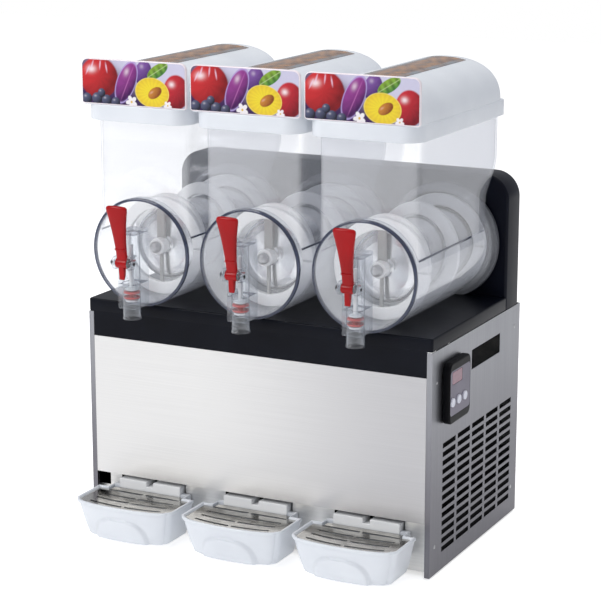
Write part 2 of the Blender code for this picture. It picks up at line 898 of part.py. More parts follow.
# Tap: measured from the lever's pivot


def tap_lever():
    """A paddle that widens from its neck, a hub, a tip that hangs down and two lifting fingers."""
    sides = []
    for n in range(paddle_steps + 1):
        share = n / paddle_steps
        width = neck_half + (paddle_half - neck_half) * share ** paddle_swell
        sides.append((width, neck_height + (lever_top - paddle_corner - neck_height) * share))
    corner = (paddle_half - paddle_corner, lever_top - paddle_corner)
    outline = [(neck_half, lever_foot)] + sides[:-1] + arc(corner, paddle_corner, 0, 90, 3)
    outline += [(-x, z) for x, z in reversed(outline)]
    paddle = plate(outline, "XZ", -paddle_thickness / 2, paddle_thickness / 2)
    paddle = turn_mesh(paddle, Matrix.Rotation(lever_lean, 4, "X"))
    hub = rod(lever_hub, (-lever_half, 0, 0), (lever_half, 0, 0), "X", small_steps)
    blade = plate(tip_outline, "YZ", -tip_half, tip_half)
    fingers = [box((min(s * finger_x[0], s * finger_x[1]), 0, -finger_half),
                   (max(s * finger_x[0], s * finger_x[1]), finger_reach, finger_half))
               for s in (-1, 1)]
    hole = rod(pin_radius + gap, (-2 * lever_half, 0, 0), (2 * lever_half, 0, 0), "X",
               small_steps)
    return finish(cut(join(hub, paddle, blade, *fingers), hole), "red_plastic")


def lever_pin():
    stem = rod(pin_radius, (-pin_half, 0, 0), (pin_half, 0, 0), "X", small_steps)
    inner = ear_outer + gap
    heads = [rod(pin_head, (min(s * inner, s * pin_half), 0, 0),
                 (max(s * inner, s * pin_half), 0, 0), "X", small_steps) for s in (-1, 1)]
    return finish(join(stem, *heads), "clear_plastic")


def tap_plunger():
    """A stem with a two-disc piston at its foot and two collars that the lever's fingers lift."""
    seal_low, seal_high = port_height - seal_half - gap, port_height + seal_half + gap
    steps_up = [(0, seal_low - piston_sole), (piston_radius, seal_low - piston_sole),
                (piston_radius, seal_low), (stem_radius, seal_low), (stem_radius, seal_high),
                (piston_radius, seal_high), (piston_radius, seal_high + piston_crown[0]),
                (stem_radius, seal_high + piston_crown[1])]
    for low in (pivot_z - collar_gap - collar_thickness, pivot_z + collar_gap):
        high = low + collar_thickness
        steps_up += [(stem_radius, low), (collar_radius, low), (collar_radius, high),
                     (stem_radius, high)]
    steps_up += [(stem_radius, stem_top), (0, stem_top)]
    shape = turned(steps_up, small_steps)
    return finish(turn_mesh(shape, Matrix.Rotation(math.radians(-90), 4, "X")), "white_plastic")


def plunger_seal():
    inner, outer = stem_radius + gap, tap_bore - seal_clearance
    low, high = port_height - seal_half, port_height + seal_half
    profile = [(inner, high), (outer, high), (outer, low), (inner, low)]
    shape = turned(profile, small_steps + 2, True)
    return finish(turn_mesh(shape, Matrix.Rotation(math.radians(-90), 4, "X")), "red_rubber")


# Lid


def vault_outline(half, base, crown, steps=10):
    rise = crown - base
    angles = [math.pi * n / steps for n in range(steps + 1)]
    return [(half * math.cos(a), base + rise * math.sin(a)) for a in angles]


def lid():
    skirt = box((-lid_half, lid_front, lid_bottom), (lid_half, lid_rear, lid_ledge))
    vault = plate(vault_outline(lid_half - vault_inset, lid_ledge - lid_play, lid_crown), "XZ",
                  lid_front + lid_play, vault_rear)
    label = plate(arch(label_half, lid_ledge - lid_play, label_top, label_corner, 4), "XZ",
                  lid_front, lid_front + label_depth)
    skirt_hollow = box((-hopper_half - lid_play, hopper_front - lid_play, lid_bottom - lid_play),
                       (hopper_half + lid_play, hopper_rear + lid_play, hopper_top + gap))
    foot = hopper_top - lid_play
    dome = vault_outline(vault_hollow_half, lid_ledge, lid_crown - vault_wall[0])
    vault_hollow = plate([(vault_hollow_half, foot)] + dome + [(-vault_hollow_half, foot)], "XZ",
                         vault_hollow_front, vault_rear - vault_wall[1])
    return finish(cut(join(skirt, vault, label), skirt_hollow, vault_hollow), "white_plastic")


# Drip tray


def tray_outline(scale, inset=0.0):
    """The plan of the tray: a bowed front with round corners, and a narrower tail behind a step."""
    half, corner = (tray_half - inset) * scale, tray_corner * scale
    front = -(tray_reach - tray_bow) * scale + inset
    bow = tray_bow * scale
    steps = 6
    points = [(half, tray_step - inset)]
    points += arc((half - corner, front + corner), corner, 0, -60, 3)
    turn_x = half - corner + corner * math.cos(math.radians(60))
    turn_y = front + corner - corner * math.sin(math.radians(60))
    reach = front - bow - turn_y
    points += [(turn_x * math.cos(math.pi * n / steps), turn_y + reach * math.sin(math.pi * n / steps))
               for n in range(1, steps)]
    points += arc((corner - half, front + corner), corner, -120, -180, 3)
    points += [(-half, tray_step - inset)]
    return points


def tray_shell(inset, low, high):
    """The bowed front part of the tray between two heights, drawn in towards its bottom."""
    top = tray_outline(1.0, inset)
    bottom = [(x * tray_taper, tray_step - inset + (y - tray_step + inset) * tray_taper)
              for x, y in top]
    bm = bmesh.new()
    rings = [[bm.verts.new((x, y, z)) for x, y in outline]
             for outline, z in ((bottom, low), (top, high))]
    count = len(top)
    for n in range(count):
        bm.faces.new([rings[0][n], rings[0][(n + 1) % count], rings[1][(n + 1) % count],
                      rings[1][n]])
    bm.faces.new(rings[0])
    bm.faces.new(rings[1])
    bmesh.ops.recalc_face_normals(bm, faces=bm.faces)
    return make_object("shape", mesh_from("shape", bm), shapes)


def drip_tray():
    """The bowed basin, its narrower tail and the tongue that hooks into the casing's strip."""
    front = tray_shell(0, tray_bottom, tray_rim)
    tail_low = tray_bottom + tail_rise
    tail = box((-tray_rear_half, tray_step - tray_wall, tail_low),
               (tray_rear_half, tray_rear, tray_rim))
    tongue = box((-tongue_half, tongue_front, strip_slot_low + gap),
                 (tongue_half, tongue_rear, tongue_top))
    front_hollow = tray_shell(tray_wall, tray_bottom + tray_wall, tray_rim + tray_lift)
    tail_hollow = box((tray_wall - tray_rear_half, tray_step - 3 * tray_wall, tail_low + tray_wall),
                      (tray_rear_half - tray_wall, tongue_front - gap, 2 * tray_rim))
    notch = box((-notch_half, tongue_front - tray_wall, notch_low),
                (notch_half, tongue_front + notch_half, 2 * notch_low))
    return finish(cut(join(front, tail, tongue), front_hollow, tail_hollow, notch),
                  "white_plastic")


def drip_grid():
    """The slotted plate, with a narrower rear part over the tray's tail, on two long legs."""
    top = grid_height + grid_thickness
    front = plate(tray_outline(1.0, grid_inset), "XY", grid_height, top)
    rear_half = tray_rear_half - grid_inset
    rear = box((-rear_half, tray_step - 2 * grid_inset, grid_height),
               (rear_half, -grid_clearance, top))
    slots = [((0, grid_first_y - grid_pitch * n, grid_height),
              (2 * (tray_half - grid_slot_margin), grid_slot, 4 * grid_thickness))
             for n in range(grid_bars)]
    low = tray_bottom + tray_wall + gap
    legs = [box((x - leg_half, leg_y[0], low), (x + leg_half, leg_y[1], top - gap))
            for x in leg_places]
    return finish(join(cut(join(front, rear), box_group(slots)), *legs), "brushed_steel")


def main():
    side_panel("side_panel_left", -1)
    side_panel("side_panel_right", 1)
    front_panel()
    rear_panel()
    base_pan()
    feet()
    deck()
    rear_housing()
    control_panel()
    compressor()
    condenser()
    condenser_fan()
    fan_motor()
    power_inlet()
    on_axis = (0, 0, bowl_axis)
    on_pivot = (0, pivot_y, pivot_z)
    in_tap = (0, tap_axis_y, 0)
    sets = [("evaporator", evaporator(), on_axis), ("auger", auger(), on_axis),
            ("drive_shaft", drive_shaft(), on_axis), ("gearmotor", gearmotor(), on_axis),
            ("bowl", bowl(), (0, 0, 0)), ("bowl_gasket", bowl_gasket(), (0, 0, 0)),
            ("tap_lever", tap_lever(), on_pivot), ("lever_pin", lever_pin(), on_pivot),
            ("tap_plunger", tap_plunger(), in_tap), ("plunger_seal", plunger_seal(), in_tap),
            ("lid", lid(), (0, 0, 0)), ("drip_tray", drip_tray(), (0, 0, 0)),
            ("drip_grid", drip_grid(), (0, 0, 0))]
    for number, x in enumerate(bowl_places, 1):
        station = make_empty(f"station_{number}", body, (x, 0, 0))
        for name, mesh, location in sets:
            place(f"{name}_{number}", mesh, station, location)


clear_scene()
parts = make_collection("slush_machine")
cutters = make_collection("cutters")
shapes = make_collection("shapes")
make_materials()
body = make_empty("casing", None, (shift_x, shift_y, foot_height))
main()
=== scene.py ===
import math

import bmesh
import bpy
import numpy as np
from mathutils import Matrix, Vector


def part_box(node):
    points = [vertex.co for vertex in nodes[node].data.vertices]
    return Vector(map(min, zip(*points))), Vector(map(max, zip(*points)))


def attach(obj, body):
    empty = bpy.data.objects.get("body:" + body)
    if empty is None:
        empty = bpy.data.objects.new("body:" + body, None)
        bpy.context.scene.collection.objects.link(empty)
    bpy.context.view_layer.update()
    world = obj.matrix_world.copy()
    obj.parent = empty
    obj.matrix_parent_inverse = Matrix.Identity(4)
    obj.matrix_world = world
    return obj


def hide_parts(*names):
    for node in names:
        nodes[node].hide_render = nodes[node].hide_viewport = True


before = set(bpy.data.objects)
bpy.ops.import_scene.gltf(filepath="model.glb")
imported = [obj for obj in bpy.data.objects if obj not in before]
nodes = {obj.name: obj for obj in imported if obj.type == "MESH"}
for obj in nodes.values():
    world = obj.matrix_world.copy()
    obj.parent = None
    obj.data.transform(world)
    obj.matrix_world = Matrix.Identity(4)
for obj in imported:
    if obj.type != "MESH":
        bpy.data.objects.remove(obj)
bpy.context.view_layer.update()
print("frame loaded:", len(nodes), "nodes")

# Every depth is measured from the front face of the casing and every height from its lower edge.
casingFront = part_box("front_panel")[0].y
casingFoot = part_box("side_panel_right")[0].z
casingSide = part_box("side_panel_right")[1].x
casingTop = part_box("side_panel_right")[1].z
casingMiddle = (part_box("side_panel_right")[1].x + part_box("side_panel_left")[0].x) / 2
stations = (1, 2, 3)


def middleOf(station):
    low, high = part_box("bowl_%d" % station)
    return np.array([(low.x + high.x) / 2, casingFront, casingFoot])


casing = np.array([casingMiddle, casingFront, casingFoot])
axisHeight = (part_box("evaporator_1")[0].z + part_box("evaporator_1")[1].z) / 2 - casingFoot

# every shell is (points, four-sided faces, many-sided caps)


def turnOut(points, quads, caps):
    # the volume under all faces, as a sum of triple products about the middle, is negative inside out
    mid = points.mean(0)
    tris = [quads[:, [0, 1, 2]], quads[:, [0, 2, 3]]]
    for cap in caps:
        tris.append(np.stack([np.full(len(cap) - 2, cap[0]), cap[1:-1], cap[2:]], 1))
    a, b, c = np.moveaxis((points - mid)[np.concatenate(tris)], 1, 0)
    if np.einsum("ij,ij->", a, np.cross(b, c)) < 0:
        quads, caps = quads[:, ::-1], [cap[::-1] for cap in caps]
    return points, quads, caps


def shell(grid, closeRows=False, closeCols=True, capFirst=True, capLast=True, keep=None):
    # neighbouring points of a grid, rows by columns, become four-sided faces
    rows, cols = grid.shape[:2]
    r, c = np.meshgrid(np.arange(rows if closeRows else rows - 1),
                       np.arange(cols if closeCols else cols - 1), indexing="ij")
    if keep is not None:
        r, c = r[keep(r, c)], c[keep(r, c)]
    nextR, nextC = (r + 1) % rows, (c + 1) % cols
    quads = np.stack([r * cols + c, nextR * cols + c, nextR * cols + nextC, r * cols + nextC], -1)
    caps = []
    if capFirst and not closeRows:
        caps.append(np.arange(cols)[::-1])
    if capLast and not closeRows:
        caps.append(np.arange((rows - 1) * cols, rows * cols))
    return turnOut(grid.reshape(-1, 3), quads.reshape(-1, 4), caps)


def roundOff(outline, radius, steps=6):
    # each corner becomes an arc: a rational quadratic between its two tangent points
    p = np.asarray(outline, float)
    back, ahead = np.roll(p, 1, 0) - p, np.roll(p, -1, 0) - p
    lengthBack, lengthAhead = np.linalg.norm(back, axis=1), np.linalg.norm(ahead, axis=1)
    back, ahead = back / lengthBack[:, None], ahead / lengthAhead[:, None]
    half = np.arccos(np.clip((back * ahead).sum(1), -1, 1)) / 2
    reach = np.minimum(np.broadcast_to(radius, len(p)) / np.tan(half),
                       0.49 * np.minimum(lengthBack, lengthAhead))
    a, b = p + back * reach[:, None], p + ahead * reach[:, None]
    s = np.linspace(0, 1, steps)[None, :, None]
    weight = np.sin(half)[:, None, None]
    top = (1 - s) ** 2 * a[:, None] + 2 * s * (1 - s) * weight * p[:, None] + s ** 2 * b[:, None]
    return (top / ((1 - s) ** 2 + 2 * s * (1 - s) * weight + s ** 2)).reshape(-1, 2)


def drawIn(outline, distance):
    # every point moves along the bisector of its two sides; distance may be an array of insets
    p = np.asarray(outline, float)
    before, after = p - np.roll(p, 1, 0), np.roll(p, -1, 0) - p
    before /= np.maximum(np.linalg.norm(before, axis=1), 1e-9)[:, None]
    after /= np.maximum(np.linalg.norm(after, axis=1), 1e-9)[:, None]
    area = (p[:, 0] * np.roll(p[:, 1], -1) - p[:, 1] * np.roll(p[:, 0], -1)).sum()
    side = 1.0 if area > 0 else -1.0
    n1 = np.stack([before[:, 1], -before[:, 0]], 1) * side
    n2 = np.stack([after[:, 1], -after[:, 0]], 1) * side
    miter = (n1 + n2) / np.maximum(1 + (n1 * n2).sum(1), 0.3)[:, None]
    return p[None] - np.asarray(distance, float).reshape(-1, 1, 1) * miter[None]


planeAxes = {"xy": (0, 1, 2), "xz": (0, 2, 1), "yz": (1, 2, 0)}


def slab(outline, low, high, plane, edge=0.001, steps=4):
    # a flat outline carried from low to high, its rim drawn in along a quarter circle at both faces
    turn = np.linspace(0, math.pi / 2, steps)
    inset = edge * (1 - np.sin(turn))
    height = edge * (1 - np.cos(turn))
    insets = np.concatenate([inset, inset[::-1]])
    heights = np.concatenate([low + height, high - height[::-1]])
    flat = drawIn(outline, insets)
    grid = np.zeros(flat.shape[:2] + (3,))
    u, v, w = planeAxes[plane]
    grid[..., u], grid[..., v] = flat[..., 0], flat[..., 1]
    grid[..., w] = heights[:, None]
    return shell(grid)


def turned(profile, centre, axis, steps=72, closed=False):
    # a profile of (radius, distance along the axis) carried once round the axis
    radius, along = np.asarray(profile, float).T
    angle = np.linspace(0, 2 * math.pi, steps, endpoint=False)
    ring = radius[:, None] * np.cos(angle), radius[:, None] * np.sin(angle)
    axisPlace = {"x": (1, 2, 0), "y": (0, 2, 1), "z": (0, 1, 2)}[axis]
    grid = np.zeros((len(radius), steps, 3))
    grid[..., axisPlace[0]], grid[..., axisPlace[1]] = ring
    grid[..., axisPlace[2]] = along[:, None]
    return shell(grid + np.asarray(centre, float), closeRows=closed,
                 capFirst=radius[0] > 1e-6, capLast=radius[-1] > 1e-6)


def box(low, high, edge=0.0008, corner=0.001, plane="xy"):
    # a small moulded block: a rounded rectangle carried between two faces, with soft edges
    u, v, w = planeAxes[plane]
    outline = [(low[u], low[v]), (high[u], low[v]), (high[u], high[v]), (low[u], high[v])]
    return slab(roundOff(outline, corner, 4), low[w], high[w], plane, edge, 3)


def loft(outlines, heights):
    # plan outlines with the same number of points, one above the other; heights may vary round a ring
    plan = np.asarray(outlines, float)
    grid = np.zeros(plan.shape[:2] + (3,))
    grid[..., :2] = plan
    height = np.asarray(heights, float)
    grid[..., 2] = height[:, None] if height.ndim == 1 else height
    return shell(grid)


def build(name, shells, look, body, station=None, stands=(), crease=35, looks=None):
    # all shells go into one mesh, with coincident points merged so that poles and seams close
    offset = casing if station is None else middleOf(station)
    points, faces, which, start = [], [], [], 0
    for number, (spots, quads, caps) in enumerate(shells):
        points.append(spots + offset)
        faces += (quads + start).tolist() + [(cap + start).tolist() for cap in caps]
        which += [0 if looks is None else looks[number]] * (len(quads) + len(caps))
        start += len(spots)
    mesh = bpy.data.meshes.new(name)
    mesh.from_pydata(np.concatenate(points), [], faces)
    mesh.polygons.foreach_set("material_index", np.array(which, np.int32))
    piece = bpy.data.objects.new(name, mesh)
    bpy.context.scene.collection.objects.link(piece)
    for one in (look if isinstance(look, (list, tuple)) else [look]):
        mesh.materials.append(one)
    closeSeams(mesh)
    mesh.shade_smooth()
    mesh.set_sharp_from_angle(angle=math.radians(crease))
    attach(piece, body)
    if stands:
        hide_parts(*stands)
    return piece


def closeSeams(mesh):
    bm = bmesh.new()
    bm.from_mesh(mesh)
    bmesh.ops.remove_doubles(bm, verts=bm.verts, dist=0.000004)
    bmesh.ops.dissolve_degenerate(bm, edges=bm.edges, dist=0.000002)
    bm.to_mesh(mesh)
    bm.free()


def settle(piece, crease=35):
    # puts the modifiers' result in the mesh, so that nothing live is left on the piece
    bpy.context.view_layer.update()
    graph = bpy.context.evaluated_depsgraph_get()
    done = bpy.data.meshes.new_from_object(piece.evaluated_get(graph))
    piece.modifiers.clear()
    piece.data = done
    done.shade_smooth()
    done.set_sharp_from_angle(angle=math.radians(crease))
    return piece


# materials

noiseSeed = {"count": 0}


def startLook(name, colour, roughness, metallic=0.0, coat=0.0, specular=0.5):
    look = bpy.data.materials.new(name)
    look.use_nodes = True
    shader = look.node_tree.nodes["Principled BSDF"]
    shader.inputs["Base Color"].default_value = (*colour, 1)
    shader.inputs["Roughness"].default_value = roughness
    shader.inputs["Metallic"].default_value = metallic
    shader.inputs["Coat Weight"].default_value = coat
    shader.inputs["Specular IOR Level"].default_value = specular
    look.diffuse_color = (*colour, 1)
    return look


def addNode(look, kind, **settings):
    node = look.node_tree.nodes.new(kind)
    for key, value in settings.items():
        if key in node.inputs:
            node.inputs[key].default_value = value
        else:
            setattr(node, key, value)
    return node


def join(look, a, b):
    look.node_tree.links.new(a, b)


def grain(look, stretch, scale, detail=3.0):
    # noise on object coordinates, pulled out along one direction where stretch is uneven
    place = addNode(look, "ShaderNodeTexCoord")
    mapping = addNode(look, "ShaderNodeMapping")
    mapping.inputs["Scale"].default_value = stretch
    noiseSeed["count"] += 1
    mapping.inputs["Location"].default_value = (0.37 * noiseSeed["count"], 0.11, 0.53)
    noise = addNode(look, "ShaderNodeTexNoise", Scale=scale, Detail=detail)
    join(look, place.outputs["Object"], mapping.inputs["Vector"])
    join(look, mapping.outputs["Vector"], noise.inputs["Vector"])
    return noise.outputs["Fac"]


def tint(look, value, dark, light, low=0.3, high=0.7):
    ramp = addNode(look, "ShaderNodeValToRGB")
    ramp.color_ramp.elements[0].color = (*dark, 1)
    ramp.color_ramp.elements[1].color = (*light, 1)
    ramp.color_ramp.elements[0].position = low
    ramp.color_ramp.elements[1].position = high
    join(look, value, ramp.inputs["Fac"])
    join(look, ramp.outputs["Color"], look.node_tree.nodes["Principled BSDF"].inputs["Base Color"])
    return ramp


def roughen(look, value, low, high):
    spread = addNode(look, "ShaderNodeMapRange")
    spread.inputs["To Min"].default_value = low
    spread.inputs["To Max"].default_value = high
    join(look, value, spread.inputs["Value"])
    join(look, spread.outputs["Result"], look.node_tree.nodes["Principled BSDF"].inputs["Roughness"])


def bump(look, value, strength, distance):
    lift = addNode(look, "ShaderNodeBump")
    lift.inputs["Strength"].default_value = strength
    lift.inputs["Distance"].default_value = distance
    join(look, value, lift.inputs["Height"])
    join(look, lift.outputs["Normal"], look.node_tree.nodes["Principled BSDF"].inputs["Normal"])


def moulded(name, dark, light, rough=(0.3, 0.42), coat=0.0, pebble=900, depth=0.12, specular=0.5):
    # moulded plastic: slight mottling, uneven gloss and a very fine pebble
    look = startLook(name, light, rough[0], coat=coat, specular=specular)
    tint(look, grain(look, (1, 1, 1), 14), dark, light)
    roughen(look, grain(look, (1, 1, 1), 45), *rough)
    bump(look, grain(look, (1, 1, 1), pebble, 2), depth, 0.0002)
    return look


def brushed(name, dark, light, rough, lines, along=0.6, depth=0.10):
    # brushed sheet: noise drawn out along the grain, in the colour, the gloss and the surface
    look = startLook(name, light, rough[0], metallic=1.0)
    tint(look, grain(look, tuple(along if s == 0 else s for s in lines), 9, 6), dark, light, 0.25, 0.75)
    roughen(look, grain(look, tuple(along if s == 0 else 4 * s for s in lines), 6, 5), *rough)
    bump(look, grain(look, tuple(along if s == 0 else 10 * s for s in lines), 10, 3), depth, 0.0001)
    return look


frontSteel = brushed("frontSteel", (0.71, 0.705, 0.70), (0.76, 0.755, 0.75), (0.36, 0.40),
                     (0, 70, 70), 0.5, 0.03)
# painted shade: the side sheets are the front's steel given a darker colour for their shaded sides
shadedSideSteel = brushed("shadedSideSteel", (0.30, 0.305, 0.33), (0.355, 0.36, 0.385), (0.36, 0.41),
                    (45, 45, 0), 0.6, 0.04)
gridSteel = brushed("gridSteel", (0.34, 0.33, 0.31), (0.62, 0.60, 0.56), (0.10, 0.24), (5, 9, 9), 3)
zincSteel = brushed("zincSteel", (0.40, 0.40, 0.41), (0.58, 0.58, 0.58), (0.36, 0.50), (12, 12, 12))
stripSteel = brushed("stripSteel", (0.78, 0.775, 0.76), (0.90, 0.89, 0.87), (0.36, 0.46), (0, 30, 30))
blackCase = moulded("blackCase", (0.0032, 0.0040, 0.0090), (0.0060, 0.0074, 0.0145), (0.34, 0.40),
                    specular=0.12)
deckBlack = moulded("deckBlack", (0.0018, 0.0024, 0.0058), (0.0038, 0.0050, 0.0100), (0.34, 0.40),
                    specular=0.12)
bezelBlack = moulded("bezelBlack", (0.0016, 0.0016, 0.0026), (0.0032, 0.0032, 0.0048), (0.35, 0.45),
                     specular=0.10)
# dull black for the parts inside the casing; on the condenser it is painted shade, so that the vents look
# dark
innerBlack = moulded("innerBlack", (0.0015, 0.0015, 0.002), (0.003, 0.003, 0.0035), (0.7, 0.85),
                     specular=0.05)
whiteShell = moulded("whiteShell", (0.71, 0.74, 0.79), (0.77, 0.80, 0.845), (0.26, 0.34), coat=0.12)
augerWhite = moulded("augerWhite", (0.86, 0.86, 0.86), (0.92, 0.92, 0.92), (0.30, 0.42))
armGrey = moulded("armGrey", (0.26, 0.26, 0.25), (0.36, 0.355, 0.34), (0.30, 0.42))
valveWhite = moulded("valveWhite", (0.55, 0.57, 0.60), (0.72, 0.74, 0.76), (0.3, 0.4))
leverRed = moulded("leverRed", (0.30, 0.001, 0.003), (0.40, 0.002, 0.005), (0.16, 0.22),
                   specular=0.22)
sealRed = moulded("sealRed", (0.50, 0.03, 0.03), (0.66, 0.06, 0.05), (0.5, 0.65))
greyRubber = moulded("greyRubber", (0.050, 0.054, 0.066), (0.085, 0.090, 0.105), (0.45, 0.6), pebble=500)
blackRubber = moulded("blackRubber", (0.010, 0.010, 0.011), (0.022, 0.022, 0.023), (0.7, 0.85), pebble=500)
facePlate = moulded("facePlate", (0.105, 0.092, 0.140), (0.150, 0.132, 0.192), (0.28, 0.36), coat=0.06)
buttonWhite = moulded("buttonWhite", (0.66, 0.67, 0.76), (0.76, 0.77, 0.86), (0.25, 0.35), coat=0.2)
screwSteel = brushed("screwSteel", (0.30, 0.30, 0.31), (0.60, 0.60, 0.61), (0.25, 0.35), (20, 20, 20))
glassRed = moulded("glassRed", (0.20, 0.07, 0.11), (0.27, 0.11, 0.16), (0.10, 0.18), coat=0.3, depth=0.02)
# painted light: the tongue is the tray's own white plastic, made lighter so that it stays bright in the shade
# under the front panel
litTongueWhite = moulded("litTongueWhite", (0.88, 0.89, 0.90), (0.94, 0.95, 0.96), (0.26, 0.34))


def insideOf(look, tests):
    # one where the object's coordinates pass every test; each test is (axis, comparison, limit)
    place = addNode(look, "ShaderNodeTexCoord")
    split = addNode(look, "ShaderNodeSeparateXYZ")
    join(look, place.outputs["Object"], split.inputs["Vector"])
    passed = None
    for axis, comparison, limit in tests:
        value = split.outputs["XYZ".index(axis)]
        if comparison == "WITHIN":
            shift = addNode(look, "ShaderNodeMath", operation="SUBTRACT")
            shift.inputs[1].default_value = casingMiddle
            size = addNode(look, "ShaderNodeMath", operation="ABSOLUTE")
            join(look, value, shift.inputs[0])
            join(look, shift.outputs[0], size.inputs[0])
            value, comparison = size.outputs[0], "LESS_THAN"
        test = addNode(look, "ShaderNodeMath", operation=comparison)
        test.inputs[1].default_value = limit
        join(look, value, test.inputs[0])
        if passed is None:
            passed = test.outputs[0]
        else:
            both = addNode(look, "ShaderNodeMath", operation="MULTIPLY")
            join(look, passed, both.inputs[0])
            join(look, test.outputs[0], both.inputs[1])
            passed = both.outputs[0]
    return passed


def paintShadeInside(look, tests):
    # painted shade: black, rough and not metallic where the tests pass; the look keeps its own finish
    # elsewhere
    tree = look.node_tree
    shader = tree.nodes["Principled BSDF"]
    dark = addNode(look, "ShaderNodeBsdfPrincipled")
    dark.inputs["Base Color"].default_value = (0.002, 0.002, 0.0025, 1)
    dark.inputs["Roughness"].default_value = 0.8
    dark.inputs["Specular IOR Level"].default_value = 0.05
    mix = addNode(look, "ShaderNodeMixShader")
    join(look, insideOf(look, tests), mix.inputs["Fac"])
    join(look, shader.outputs["BSDF"], mix.inputs[1])
    join(look, dark.outputs["BSDF"], mix.inputs[2])
    join(look, mix.outputs["Shader"], tree.nodes["Material Output"].inputs["Surface"])


def shadeAlong(look, axis, start, end, tone):
    # painted shade: the metal's colour multiplied by a darker tone that sets in smoothly from start to end
    # along an axis
    shader = look.node_tree.nodes["Principled BSDF"]
    place = addNode(look, "ShaderNodeTexCoord")
    split = addNode(look, "ShaderNodeSeparateXYZ")
    spread = addNode(look, "ShaderNodeMapRange", interpolation_type="SMOOTHSTEP")
    spread.inputs["From Min"].default_value = start
    spread.inputs["From Max"].default_value = end
    scale = addNode(look, "ShaderNodeMixRGB", blend_type="MULTIPLY")
    scale.inputs[2].default_value = (*tone, 1)
    join(look, place.outputs["Object"], split.inputs["Vector"])
    join(look, split.outputs["XYZ".index(axis)], spread.inputs["Value"])
    join(look, spread.outputs["Result"], scale.inputs[0])
    join(look, shader.inputs["Base Color"].links[0].from_socket, scale.inputs[1])
    join(look, scale.outputs["Color"], shader.inputs["Base Color"])


# painted shade: the front sheet is darker towards its right edge, the side sheets towards the foot
shadeAlong(frontSteel, "X", casingMiddle - 0.12, casingSide, (0.70, 0.70, 0.725))
shadeAlong(shadedSideSteel, "Z", casingTop, casingTop - 0.26, (0.60, 0.58, 0.60))

# painted shade: the side sheets' inner faces and the base pan behind its front strip are coloured black
sheetInside = casingSide - casingMiddle - 0.0012
paintShadeInside(shadedSideSteel, [("X", "WITHIN", sheetInside), ("Y", "GREATER_THAN", casingFront + 0.003)])
paintShadeInside(stripSteel, [("Y", "GREATER_THAN", casingFront + 0.0143)])


def drumLook(n):
    # turned steel: an angular gradient paints the light and dark sectors of the spun end's reflection into
    # the colour, a painted reflection
    look = brushed("drumSteel_%d" % n, (0.72, 0.73, 0.75), (0.92, 0.93, 0.95), (0.14, 0.24),
                   (0.5, 40, 0.5), 0.5)
    place = addNode(look, "ShaderNodeTexCoord")
    mapping = addNode(look, "ShaderNodeMapping")
    middle = middleOf(n)
    mapping.inputs["Location"].default_value = (-middle[0], middle[2] + axisHeight, 0)
    mapping.inputs["Rotation"].default_value = (math.pi / 2, 0, 0)
    sweep = addNode(look, "ShaderNodeTexGradient", gradient_type="RADIAL")
    ramp = addNode(look, "ShaderNodeValToRGB")
    stops = ((0.0, 0.62), (0.10, 0.95), (0.20, 0.50), (0.33, 0.90), (0.45, 0.55), (0.60, 0.92),
             (0.72, 0.48), (0.85, 0.88), (1.0, 0.62))
    while len(ramp.color_ramp.elements) < len(stops):
        ramp.color_ramp.elements.new(0.5)
    for stop, (position, tone) in zip(ramp.color_ramp.elements, stops):
        stop.position = position
        stop.color = (tone, tone, tone * 1.02, 1)
    scale = addNode(look, "ShaderNodeMixRGB", blend_type="MULTIPLY")
    scale.inputs[0].default_value = 0.75
    shader = look.node_tree.nodes["Principled BSDF"]
    join(look, place.outputs["Object"], mapping.inputs["Vector"])
    join(look, mapping.outputs["Vector"], sweep.inputs["Vector"])
    join(look, sweep.outputs["Fac"], ramp.inputs["Fac"])
    join(look, shader.inputs["Base Color"].links[0].from_socket, scale.inputs[1])
    join(look, ramp.outputs["Color"], scale.inputs[2])
    join(look, scale.outputs["Color"], shader.inputs["Base Color"])
    return look


